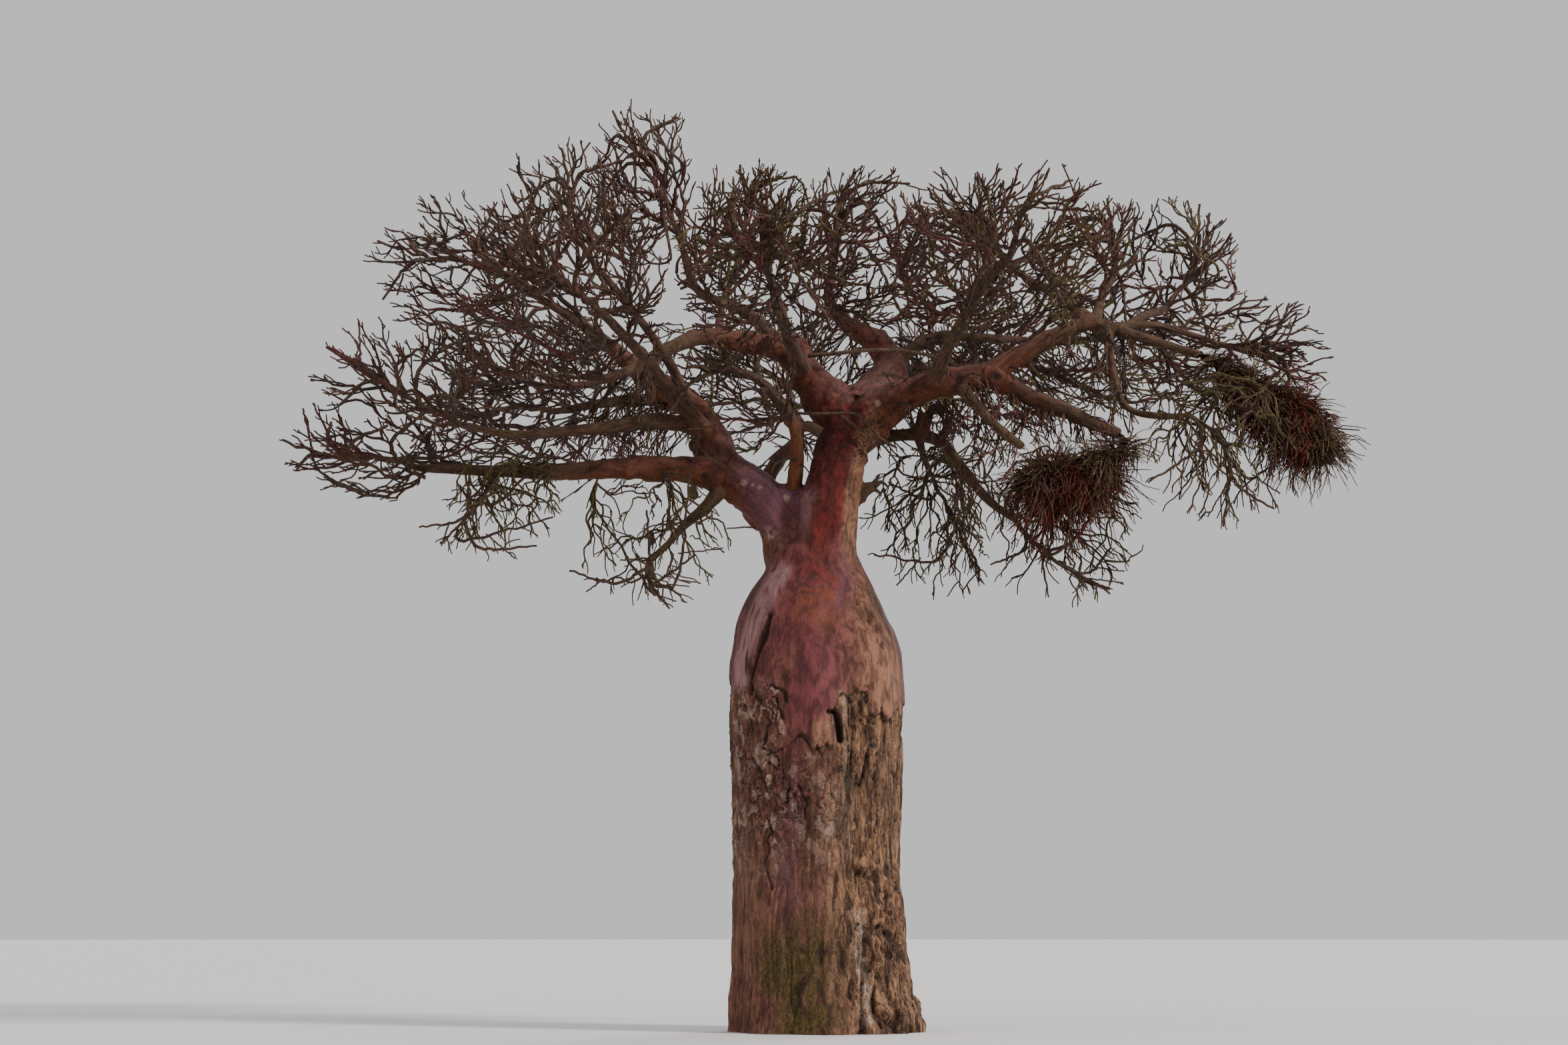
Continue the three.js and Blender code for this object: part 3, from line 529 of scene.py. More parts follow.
def branchlets(number, points, count, root, tip, roll):
    """Branchlets of one shoot, on alternate sides of it: a line and its radii for each"""
    long = np.linalg.norm(points[-1] - points[0])
    made = []
    for index in range(count):
        share = (index + 0.9) / (count + 0.4)
        place, heading = place_at(points, share)
        side = turned(unit(np.cross(heading, UP)), heading, GOLDEN_ANGLE * index * 2 + roll())
        way = heading * math.cos(BRANCHLET_ANGLE) + side * math.sin(BRANCHLET_ANGLE)
        way = unit(way + UP * MASSES[number][2])
        target = place + way * long * BRANCHLET_LENGTH * (1.15 - 0.6 * share)
        radius = (root + (tip - root) * share) * BRANCHLET_THICKNESS
        line = shoot_line(number, place, way, target, BRANCHLET_STEPS, radius, roll)
        if len(line) > BRANCHLET_STEPS * SHORTEST + 1:
            made.append((line, radius, min(BRANCHLET_TIP, radius)))
    return made


def coarse_shoots(number):
    """The leader, ribs and branchlets of a mass, just as the source has them"""
    _, limb, _, _, _, tip = MASSES[number]
    points, radii = LIMB_LINES[limb]
    heading = unit(points[-1] - points[-2])
    root = radii[-1]
    roll = Dice(1009 * (number + 1)).roll
    start = points[-1] + heading * GAP
    leader = shoot_line(number, start, heading, np.array(tip), LEADER_STEPS, RIB_TIP, roll)
    made = [(leader, root, RIB_TIP)]
    made += branchlets(number, leader, BRANCHLETS_ON_LEADER, root, RIB_TIP, roll)
    targets = [edge_of(number, even_direction(index, RIBS)) for index in range(RIBS)]
    targets.sort(key=lambda place: np.linalg.norm(place - start))
    for index, target in enumerate(targets):
        share = FIRST_RIB_AT + (LAST_RIB_AT - FIRST_RIB_AT) * index / (RIBS - 1)
        place, way = place_at(leader, share)
        radius = max(THINNEST_RIB, (root + (RIB_TIP - root) * share) * RIB_THICKNESS)
        line = shoot_line(number, place, way, target, RIB_STEPS, RIB_TIP, roll)
        if len(line) < RIB_STEPS:
            continue
        made.append((line, radius, RIB_TIP))
        made += branchlets(number, line, BRANCHLETS_ON_RIB, radius, RIB_TIP, roll)
    return made


# Finer growth

def kinked(points, amount, chance):
    """Points moved sideways a little at random, but for the first and the last"""
    long = np.linalg.norm(points[..., -1, :] - points[..., 0, :], axis=-1)[..., None, None]
    wander = chance.uniform(-1, 1, points.shape) * long * amount / points.shape[-2]
    wander[..., 0, :] = 0
    wander[..., -1, :] = 0
    return points + wander


def flow(number, places):
    """The way that twigs point at places of a mass: away from its bough, and up or down with its lean"""
    if number is None:
        return np.tile(-UP, (len(places), 1))
    _, limb, lean, middle, _, _ = MASSES[number]
    points = LIMB_LINES[limb][0]
    if lean < 0:
        return unit((places - np.array(middle)) * (0.4, 0.4, 0) - UP)
    source = points[-1] - 0.9 * unit(points[-1] - points[-2])
    return unit(unit(places - source) + UP * lean)


def inner_targets(number, chance):
    """Even places through a mass's own space, clear of limbs: some near its skin, then the rest"""
    volume = 4.19 * REACHES[number].prod()
    share = HANGING_SHOOTS if MASSES[number][2] < 0 else THINNED.get(MASSES[number][0], 1)
    count = round(max(FEWEST_SHOOTS, volume * SHOOTS_TO_A_CUBE) * share)
    ways = even_direction(np.arange(count), count)
    share = 0.97 * chance.uniform(0.1, 1, count) ** 0.42
    places = MIDDLES[number] + REACHES[number] * ways * share[:, None]
    places += chance.uniform(-0.08, 0.08, places.shape)
    free = owned(number, places) & ~touching(places, 0.03, NOTHING_SPARED)
    places, share = places[free], share[free]
    order = chance.permutation(len(places))
    outer = order[share[order] > 0.8][:round(LEADING_SHOOTS * len(places))]
    rest = np.setdiff1d(order, outer)
    foot = LIMB_LINES[MASSES[number][1]][0][-1]
    rest = rest[np.argsort(np.linalg.norm(places[rest] - foot, axis=1))]
    return places[np.concatenate((outer, rest))], len(outer)


def side_buds(number):
    """Places where a mass's space takes in the outer part of a bough, and the bough's way there"""
    places, ways = [np.empty((0, 3))], [np.empty((0, 3))]
    for _, root, tip, taper, bends in LIMBS:
        points, radii = limb_line(bends, root, tip, taper, 0.25, 4)
        along = unit(np.gradient(points, axis=0))
        keep = owned(number, points) & (radii < 0.24) & (np.arange(len(points)) > 1)
        places.append(points[keep])
        ways.append(along[keep])
    return np.vstack(places), np.vstack(ways)


def fine_shoots(number, coarse, chance):
    """Bent shoots from the nearest fitting place of what has grown to each inner target"""
    places, ways = [], []
    for line, _, _ in coarse:
        dense = smooth_line(line, 3 * (len(line) - 1))
        places.append(dense[1:])
        ways.append(unit(np.gradient(dense, axis=0))[1:])
    buds, bud_ways = side_buds(number)
    places = np.vstack(places + [buds])
    ways = np.vstack(ways + [bud_ways])
    hanging = MASSES[number][2] < 0
    targets, leading = inner_targets(number, chance)
    t = np.linspace(0, 1, HANGING_POINTS if hanging else SHOOT_POINTS)[:, None]
    made = []
    for index, target in enumerate(targets):
        leads = index < leading
        wanted = HANGING_LENGTH if hanging else LEADING_LENGTH if leads else SHOOT_LENGTH
        drift = flow(number, target[None])[0]
        if not leads:
            drift = unit(drift + chance.normal(0, SHOOT_SCATTER * (0.75 if hanging else 1), 3))
        reach = target - places
        far = np.linalg.norm(reach, axis=1)
        straight = reach / np.maximum(far, 1e-6)[:, None]
        ahead = (straight * ways).sum(1)
        with_flow = straight @ drift
        cost = 1.2 * np.abs(far - wanted) + 0.6 * (1 - ahead) + 1.4 * (1 - with_flow)
        cost += 4 * ((with_flow < 0.15) | (far < 0.15) | (far > LONGEST_SHOOT))
        best = cost.argmin()
        if cost[best] > 4:
            continue
        long = far[best]
        start = places[best]
        leave = start + unit(ways[best] + 0.9 * straight[best]) * long / 3
        aside = unit(np.cross(straight[best], chance.normal(0, 1, 3)))
        ending = drift + 0.4 * straight[best] + (0.9 * aside if hanging else 0.25 * UP)
        meet = target - unit(ending) * long / 3
        line = (1 - t) ** 3 * start + 3 * t * (1 - t) ** 2 * leave
        line = line + 3 * t * t * (1 - t) * meet + t ** 3 * target
        wave = np.sin(2 * math.pi * (t * max(1, long / 0.45) + chance.uniform())) * np.sin(math.pi * t) ** 0.5
        size = HANGING_WAVE if hanging else SHOOT_WAVE
        line = line + np.cross(straight[best], aside) * wave * size * min(1, long)
        beyond = line[2:]
        free = owned(number, beyond) & ~touching(beyond, 0.012, NOTHING_SPARED)
        if not free[0]:
            continue
        if not free.all():
            line = smooth_line(line[:2 + int(free.argmin())], len(t) - 1)
        root = LEADING_ROOT * min(1.2, 0.5 + 0.5 * long) if leads and not hanging else SHOOT_ROOT
        made.append((line, root, SHOOT_TIP))
        along = unit(np.gradient(line, axis=0))
        places = np.vstack((places, line[2:]))
        ways = np.vstack((ways, along[2:]))
    return made


def side_shoots(number, lines, spacing, length, count, most, chance):
    """Short shoots on alternate sides of many lines at once, where there is room for them"""
    run = np.linalg.norm(np.diff(lines, axis=1), axis=2).sum(1)
    counts = np.clip(np.round(run / spacing).astype(int), 1, most)
    parent = np.repeat(np.arange(len(lines)), counts)
    order = np.concatenate([np.arange(n) for n in counts])
    share = (order + chance.uniform(0.35, 0.85, len(order))) / counts[parent]
    at = np.clip(share, 0.08, 0.985) * (lines.shape[1] - 1)
    index = at.astype(int)
    start = lines[parent, index]
    onward = lines[parent, index + 1] - start
    heading = unit(onward)
    start = start + onward * (at - index)[:, None]
    flat = unit(np.cross(heading, UP) + 1e-6)
    upright = np.cross(flat, heading)
    roll = order * math.pi + (parent * GOLDEN_ANGLE) + chance.normal(0, 0.55, len(order))
    side = flat * np.cos(roll)[:, None] + upright * np.sin(roll)[:, None]
    angle = chance.uniform(0.5, 0.95, len(order))[:, None]
    drift = flow(number, start)
    way = unit(heading * np.cos(angle) + side * np.sin(angle) + 0.25 * drift)
    low, high = length
    long = chance.uniform(low, high, len(order)) * (1.12 - 0.4 * share)
    t = np.linspace(0, 1, count)[None, :, None]
    curl = unit(0.5 * way + 0.3 * heading + 0.5 * drift + chance.normal(0, 0.28, drift.shape))
    reach = way[:, None] * t + (curl - way)[:, None] * t * t * 0.6
    aside = unit(np.cross(way, chance.normal(0, 1, way.shape)))
    first = chance.uniform(0, 2 * math.pi, (len(order), 1, 1))
    reach = reach + aside[:, None] * (np.sin(5.5 * t + first) - np.sin(first)) * TWIG_WAVE
    for size in (1, 0.55):
        made = kinked(start[:, None] + reach * (long * size)[:, None, None], 0.06, chance)
        beyond = made[:, 1:].reshape(-1, 3)
        free = owned(number, beyond) & ~touching(beyond, 0.01, NOTHING_SPARED)
        free = free.reshape(len(made), -1).all(1)
        if size == 1:
            whole, fits = made, free
    made = np.where(fits[:, None, None], whole, made)
    keep = fits | free
    return made[keep], parent[keep]


def bough_twigs():
    """Twigs straight on the boughs between the masses' spaces, most of them hanging, and their spurs"""
    chance = np.random.default_rng(7090)
    spots, ways, thick = [], [], []
    for name, root, tip, taper, bends in LIMBS:
        if name in WITHOUT_TWIGS:
            continue
        points, radii = limb_line(bends, root, tip, taper, BUD_SPACING, 8)
        keep = (radii < 0.27) & (np.arange(len(points)) * BUD_SPACING > root + 0.25)
        crowded = (points[:, 1] < -0.9) & (points[:, 0] < 0.5) | (np.abs(points[:, 0] + 1) < 1.2)
        keep &= ~crowded | (chance.uniform(0, 1, len(points)) < 0.25)
        spots.append(points[keep])
        ways.append(unit(np.gradient(points, axis=0))[keep])
        thick.append(radii[keep])
    spots, ways, thick = (np.concatenate(rows) for rows in (spots, ways, thick))
    many = len(spots)
    flat = unit(np.cross(ways, UP) + 1e-6)
    roll = chance.normal(-0.5 * math.pi, 1.15, many)[:, None]
    side = flat * np.cos(roll) + np.cross(flat, ways) * np.sin(roll)
    leave = unit(side + ways * chance.uniform(-0.1, 0.9, many)[:, None])
    drop = unit(0.5 * leave + 0.3 * side - UP * chance.uniform(0.1, 1.3, many)[:, None])
    hook = unit(leave * (1, 1, 0) + 0.5 * UP + chance.normal(0, 0.3, side.shape))
    t = np.linspace(0, 1, BOUGH_TWIG_POINTS)[None, :, None]
    long = chance.uniform(*BOUGH_TWIG_LENGTH, many)[:, None, None]
    aside = unit(np.cross(drop, chance.normal(0, 1, drop.shape)))[:, None]
    first = chance.uniform(0, 2 * math.pi, (many, 1, 1))
    wave = aside * (np.sin(9 * t * long + first) - np.sin(first)) * 0.035
    start = spots + side * thick[:, None] * 0.8
    lines, room = None, np.zeros(many, bool)
    for size in (1, 0.6, 0.35):
        reach = leave[:, None] * t * (1 - 0.5 * t) + drop[:, None] * t * t * 0.6
        reach = reach + hook[:, None] * t ** 5 * 0.12
        made = start[:, None] + (reach * long + wave * t) * size
        beyond = made[:, 3:].reshape(-1, 3)
        free = (owned(None, beyond) & ~touching(beyond, 0.01, NOTHING_SPARED)).reshape(many, -1).all(1)
        lines = made if lines is None else np.where((free & ~room)[:, None, None], made, lines)
        room |= free
    lines = lines[room & (lines[:, :, 2].min(1) > 5.9)]
    spurs, parent = side_shoots(None, lines, 0.17, (0.1, 0.34), 4, 6, chance)
    return {
        "twigs": (lines, np.tile(BOUGH_TWIG_ENDS, (len(lines), 1)), np.arange(len(lines))),
        "spurs": (spurs, np.tile((SPUR_ROOT, SPUR_TIP), (len(spurs), 1)) * 0.9, parent),
    }


def mass_of_twigs(number):
    """Every shoot, twig and spur of a mass: lines, root and tip radii, and the spray of each"""
    chance = np.random.default_rng(7100 + number)
    coarse = coarse_shoots(number)
    fine = fine_shoots(number, coarse, chance)
    stems = np.array([smooth_line(line, 2 * SHOOT_POINTS - 1) for line, _, _ in coarse])
    stems = kinked(stems, 0.25, chance)
    shoots = np.array([line for line, _, _ in fine])
    spray = np.arange(len(shoots))
    hanging = MASSES[number][2] < 0
    spacing, length = (HANGING_TWIG_SPACING, HANGING_TWIG_LENGTH) if hanging else (TWIG_SPACING, TWIG_LENGTH)
    twigs, twig_parent = side_shoots(number, shoots, spacing, length, TWIG_POINTS, 9, chance)
    extra, extra_parent = side_shoots(number, stems, TWIG_SPACING * 1.3, length, TWIG_POINTS, 12, chance)
    twigs = np.vstack((twigs, extra))
    twig_spray = np.concatenate((twig_parent, len(shoots) + extra_parent))
    spurs, spur_parent = side_shoots(
        number, twigs, 0.34, SPUR_LENGTH, 3, 1 if hanging else SPURS_TO_A_TWIG, chance)
    if hanging:
        spurs, spur_parent = spurs[::3], spur_parent[::3]
    tips, tip_parent = side_shoots(
        number, shoots[:, -3:], 0.09, SPUR_LENGTH, 3, 3, chance)
    thin = HANGING_THINNER if hanging else 1
    rib_ends = thin * np.array([[root, tip] for _, root, tip in coarse])
    shoot_ends = thin * np.array([[root, tip] for _, root, tip in fine])
    return {
        "stems": (stems, rib_ends, len(shoots) + np.arange(len(stems))),
        "shoots": (shoots, shoot_ends, spray),
        "twigs": (twigs, thin * np.tile((TWIG_ROOT, TWIG_TIP), (len(twigs), 1)), twig_spray),
        "spurs": (
            np.vstack((spurs, tips)), thin * np.tile((SPUR_ROOT, SPUR_TIP), (len(spurs) + len(tips), 1)),
            np.concatenate((twig_spray[spur_parent], tip_parent))),
    }


def sleeves(lines, ends, sides):
    """Closed skins round many lines at once: their places, four-sided faces and end faces"""
    many, points, _ = lines.shape
    along = unit(np.gradient(lines, axis=1))
    across = np.where(np.abs(along[:, :1, :1]) > 0.8, (0.0, 1.0, 0.0), (1.0, 0.0, 0.0))
    across = unit(across - (across * along[:, :1]).sum(2, keepdims=True) * along[:, :1])
    rings = []
    turn = 2 * np.pi * np.arange(sides) / sides
    for index in range(points):
        here = along[:, index:index + 1]
        across = unit(across - (across * here).sum(2, keepdims=True) * here)
        beside = np.cross(here, across)
        wide = ends[:, :1] + (ends[:, 1:] - ends[:, :1]) * index / (points - 1)
        ring = np.cos(turn)[:, None] * across + np.sin(turn)[:, None] * beside
        rings.append(lines[:, index:index + 1] + ring * wide[:, None])
    places = np.stack(rings, axis=1).reshape(-1, 3)
    ring, side = np.divmod(np.arange((points - 1) * sides), sides)
    here = ring * sides + side
    onward = ring * sides + (side + 1) % sides
    wall = np.stack((here, onward, onward + sides, here + sides), axis=1)
    caps = np.stack((np.arange(sides)[::-1], (points - 1) * sides + np.arange(sides)))
    first = (np.arange(many) * points * sides)[:, None, None]
    return places, (wall + first), (caps + first)


def joined_mesh(name, batches, finishes):
    """One mesh from batches of skins: places, faces and the finish of each face"""
    places, corners, sizes, tones = [], [], [], []
    count = 0
    for skin, walls, caps, tone in batches:
        for faces in (walls, caps):
            many, each, size = faces.shape
            corners.append((faces + count).reshape(-1))
            sizes.append(np.full(many * each, size))
            tones.append(np.repeat(tone, each))
        places.append(skin)
        count += len(skin)
    places, corners, sizes, tones = (np.concatenate(rows) for rows in (places, corners, sizes, tones))
    mesh = bpy.data.meshes.new(name)
    mesh.vertices.add(len(places))
    mesh.vertices.foreach_set("co", places.astype(np.float32).ravel())
    mesh.loops.add(len(corners))
    mesh.loops.foreach_set("vertex_index", corners.astype(np.int32))
    mesh.polygons.add(len(sizes))
    mesh.polygons.foreach_set("loop_start", (np.cumsum(sizes) - sizes).astype(np.int32))
    for finish in finishes:
        mesh.materials.append(finish)
    mesh.polygons.foreach_set("material_index", tones.astype(np.int32))
    mesh.polygons.foreach_set("use_smooth", np.zeros(len(sizes), bool))
    mesh.update(calc_edges=True)
    mesh.validate()
    piece = bpy.data.objects.new(name, mesh)
    bpy.context.scene.collection.objects.link(piece)
    return piece


# Bark

def skin_of(lines):
    """One blended skin round the trunk and the limbs"""
    drawn = bpy.data.curves.new("wood_lines", "CURVE")
    drawn.dimensions = "3D"
    drawn.bevel_depth = 1
    drawn.bevel_resolution = 8
    drawn.use_fill_caps = True
    for points, radii in lines:
        spline = drawn.splines.new("POLY")
        spline.points.add(len(points) - 1)
        spline.points.foreach_set("co", np.c_[points, np.ones(len(points))].ravel())
        spline.points.foreach_set("radius", radii)
    rough = bpy.data.objects.new("wood_lines", drawn)
    bpy.context.scene.collection.objects.link(rough)
    tubes = bpy.data.meshes.new_from_object(rough.evaluated_get(bpy.context.evaluated_depsgraph_get()))
    bpy.data.objects.remove(rough)
    skin = bpy.data.objects.new("wood_skin", tubes)
    bpy.context.scene.collection.objects.link(skin)
    remesh = skin.modifiers.new("one_skin", "REMESH")
    remesh.mode = "VOXEL"
    remesh.voxel_size = SKIN_SPACING
    whole = bpy.data.meshes.new_from_object(skin.evaluated_get(bpy.context.evaluated_depsgraph_get()))
    bpy.data.objects.remove(skin)
    return whole


def wood_lines():
    """The trunk's line and every limb's, each limb flared where it leaves another"""
    heights, radii, sides = np.array(TRUNK_LEVELS).T
    levels = np.concatenate(([-0.4], np.arange(0, heights[-1], 0.1), [heights[-1]]))
    middles = np.c_[np.interp(levels, heights, sides), 0 * levels, levels]
    yield middles, np.interp(levels, heights, radii)
    for name, root, tip, taper, bends in LIMBS:
        points, wide = limb_line(bends, root, tip, taper, LINE_SPACING, 8)
        run = np.concatenate(([0], np.cumsum(np.linalg.norm(np.diff(points, axis=0), axis=1))))
        flare = STEM_FLARE if name.startswith("stem_") else FLARE
        yield points, wide * (1 + flare * np.exp(-((run - root) / (1.8 * root)) ** 2 * (run > root)))
    for root, tip, bends in KNOBS:
        yield limb_line(bends, root, tip, 1.0, 0.05, 4)


def relaxed(places, edges, amount, rounds):
    """Places moved towards the middle of their neighbours, each by its own amount"""
    count = np.bincount(edges.ravel(), minlength=len(places))[:, None]
    for _ in range(rounds):
        around = np.zeros_like(places)
        for axis in range(3):
            around[:, axis] += np.bincount(edges[:, 0], places[edges[:, 1], axis], len(places))
            around[:, axis] += np.bincount(edges[:, 1], places[edges[:, 0], axis], len(places))
        places = places + (around / count - places) * amount[:, None]
    return places


def nearest_limb(places, lines):
    """For each place the closest limb's radius there, how much closer it is than the trunk, and the
    place as it would be if the limb stood upright, for a grain that follows the limb"""
    number, run, along, radius, spot = [], [], [], [], []
    for index, (points, wide) in enumerate(lines):
        steps = np.linalg.norm(np.diff(points, axis=0), axis=1)
        number.append(np.full(len(points), index))
        rise = points[0, 2] + np.concatenate(([0], np.cumsum(steps)))
        run.append(np.c_[np.tile(points[0, :2], (len(points), 1)), rise])
        along.append(unit(np.gradient(points, axis=0)))
        radius.append(wide)
        spot.append(points)
    number, run, along, radius, spot = (
        np.concatenate(rows) for rows in (number, run, along, radius, spot))
    spot = spot.astype(np.float32)
    wide = radius.astype(np.float32)
    best = np.empty(len(places), int)
    off_trunk = np.empty(len(places), np.float32)
    on_trunk = number == 0
    for first in range(0, len(places), 20000):
        part = places[first:first + 20000].astype(np.float32)
        far = (part ** 2).sum(1)[:, None] - 2 * part @ spot.T + (spot ** 2).sum(1)
        over = np.sqrt(np.maximum(far, 0)) - wide
        best[first:first + 20000] = over.argmin(1)
        off_trunk[first:first + 20000] = over[:, on_trunk].min(1) - over[:, ~on_trunk].min(1)
    ways, offset = along[best], places - spot[best]
    lean = np.cross(np.tile(UP, (len(ways), 1)), ways)
    turned_back = offset - np.cross(lean, offset)
    turned_back += np.cross(lean, np.cross(lean, offset)) / (1.001 + ways[:, 2:])
    laid = turned_back + run[best]
    return radius[best], off_trunk, np.where((number[best] == 0)[:, None], places, laid)


# Where the trunk's marks lie on its front: sideways place and height of each
SLIT = ((-0.7, 6.16), (-0.76, 5.95), (-0.82, 5.74), (-0.86, 5.6))
SLIT_FOOT = ((-0.85, 5.62), (-0.92, 5.35), (-0.97, 5.14), (-0.95, 4.98))
CRACKS = (
    ((-0.94, 5.0), (-0.84, 4.85), (-0.72, 4.6), (-0.74, 4.3), (-0.8, 4.15), (-0.6, 4.05), (-0.5, 3.7)),
    ((-1.12, 4.9), (-1.0, 4.75), (-0.96, 4.55), (-1.02, 4.35)),
    ((-0.68, 5.06), (-0.5, 4.98), (-0.46, 4.84)),
    ((-0.62, 4.86), (-0.56, 4.6)),
    ((-0.75, 4.05), (-0.45, 4.2), (-0.28, 4.32), (-0.2, 4.28), (-0.06, 4.1), (0.12, 4.16)),
    ((-0.78, 3.95), (-0.55, 3.85), (-0.42, 3.65), (-0.45, 3.35)),
    ((-0.95, 4.0), (-0.8, 3.75), (-0.72, 3.5)),
    ((-0.72, 3.2), (-0.7, 2.9), (-0.76, 2.6), (-0.7, 2.1)),
    ((-0.3, 3.6), (-0.16, 3.4), (-0.2, 3.1)),
)
HOLE = ((0.16, 4.68), (0.27, 4.66), (0.32, 4.5), (0.35, 4.26))
PLATE = (0.05, 4.42, 0.17, 0.3)
SHOULDER_PITS = ((0.79, 6.12, 0.07), (0.9, 5.95, 0.055), (0.6, 6.35, 0.045), (0.95, 5.7, 0.04))
HOLLOW = ((0.05, 1.15), (0.07, 0.22))
NECK_CLEFT = ((0.34, 7.35), (0.42, 7.05), (0.44, 6.7), (0.36, 6.35))
COLLAR_WRINKLES = (
    ((-0.32, 6.72), (-0.18, 6.66), (0.02, 6.7), (0.2, 6.62)),
    ((-0.28, 6.6), (-0.1, 6.55), (0.12, 6.58), (0.3, 6.5)),
    ((-0.36, 6.48), (-0.15, 6.44), (0.05, 6.47)),
)
PALE_STREAK = ((0.62, 1.75), (0.64, 1.3), (0.7, 0.8), (0.76, 0.2))
# The ridge that the light catches, which gets a painted highlight in cream
LIT_RIDGE = ((0.36, 5.0), (0.44, 4.6), (0.48, 4.1), (0.44, 3.4), (0.5, 2.6))
LILAC_STREAK = ((-0.55, 6.85), (-0.8, 6.4), (-1.0, 5.95), (-1.12, 5.5), (-1.14, 5.15))
DARK_TONGUE = ((0.56, 5.0), (0.7, 4.7), (0.8, 4.5), (0.84, 4.2))
PALE_SPOTS = (
    (-1.1, 8.24, 0.055), (-0.97, 8.2, 0.022), (-0.86, 8.17, 0.035), (-0.44, 8.02, 0.06), (0.93, 9.4, 0.05))
KNOT_HOLES = (
    (2.14, 9.7, 0.075), (2.72, 9.73, 0.06), (3.3, 9.6, 0.065), (0.95, 9.11, 0.05), (1.44, 9.39, 0.05),
    (1.78, 9.3, 0.04), (1.86, 9.08, 0.035), (-1.9, 8.9, 0.05), (-1.7, 8.3, 0.06), (-2.2, 8.2, 0.05))
LICHEN = ((-0.72, 7.45, 0.12), (-0.47, 7.3, 0.13), (-0.6, 7.1, 0.08))
RED_SPOTS = ((0.49, 1.12, 0.05), (0.6, 2.42, 0.06), (-0.2, 3.42, 0.04))

# The right stem's middle line as seen from the front, and its radius there
STEM_HEIGHTS = (6.86, 7.47, 8.14, 8.82, 9.3)
STEM_SIDES = (0.12, 0.16, 0.26, 0.41, 0.54)
STEM_RADIUS = 0.43

# The smooth skin's lower edge has teeth about this wide round a trunk of this radius
TRUNK_RADIUS = 1.3
TOOTH_WIDTH = 0.27

# Degrees round the trunk, with the front at -90 and the right at 0: how furrowed the bark is there,
# and down to what height the smooth skin covers it
ROUND = (-180, -150, -122, -112, -90, -76, -64, -50, -30, 0, 40, 80, 110, 140, 180)
FURROWED = (0.4, 0.25, 0.2, 0.1, 0.15, 0.6, 1, 1, 1, 0.95, 0.8, 0.6, 0.85, 0.6, 0.4)
SKIN_ENDS = (5.3, 5.15, 5.05, 4.3, 4.05, 5.0, 5.0, 4.75, 4.7, 4.85, 5.3, 4.7, 5.2, 4.6, 5.3)


def gap_to(line, x, z):
    """How far places on the front are from a line drawn there"""
    line = np.array(line)
    least = np.full(len(x), 9.0)
    for (x0, z0), (x1, z1) in zip(line[:-1], line[1:]):
        share = ((x - x0) * (x1 - x0) + (z - z0) * (z1 - z0)) / ((x1 - x0) ** 2 + (z1 - z0) ** 2)
        share = np.clip(share, 0, 1)
        least = np.minimum(least, np.hypot(x - x0 - share * (x1 - x0), z - z0 - share * (z1 - z0)))
    return least


def hump(values, middle, wide, edge=2):
    """1 at the middle value and less away from it, the more suddenly the higher the edge"""
    return np.exp(-((values - middle) / wide) ** edge)


def drawn(line, x, z, wide, edge=2):
    """How much places on the front have of a line drawn there"""
    return hump(gap_to(line, x, z), 0, wide, edge)


def oval(x, z, middle, size, edge=2):
    """How much places on the front have of an oval drawn there"""
    across, up = (x - middle[0]) / size[0], (z - middle[1]) / size[1]
    return np.exp(-across ** edge - up ** edge)


def spotted(spots, x, z, flat=1, edge=4):
    """How much places on the front have of spots, each with its sideways place, height and radius"""
    most = np.zeros(len(x))
    for spot_x, spot_z, wide in spots:
        most = np.maximum(most, hump(np.hypot(x - spot_x, (z - spot_z) * flat), 0, wide, edge))
    return most


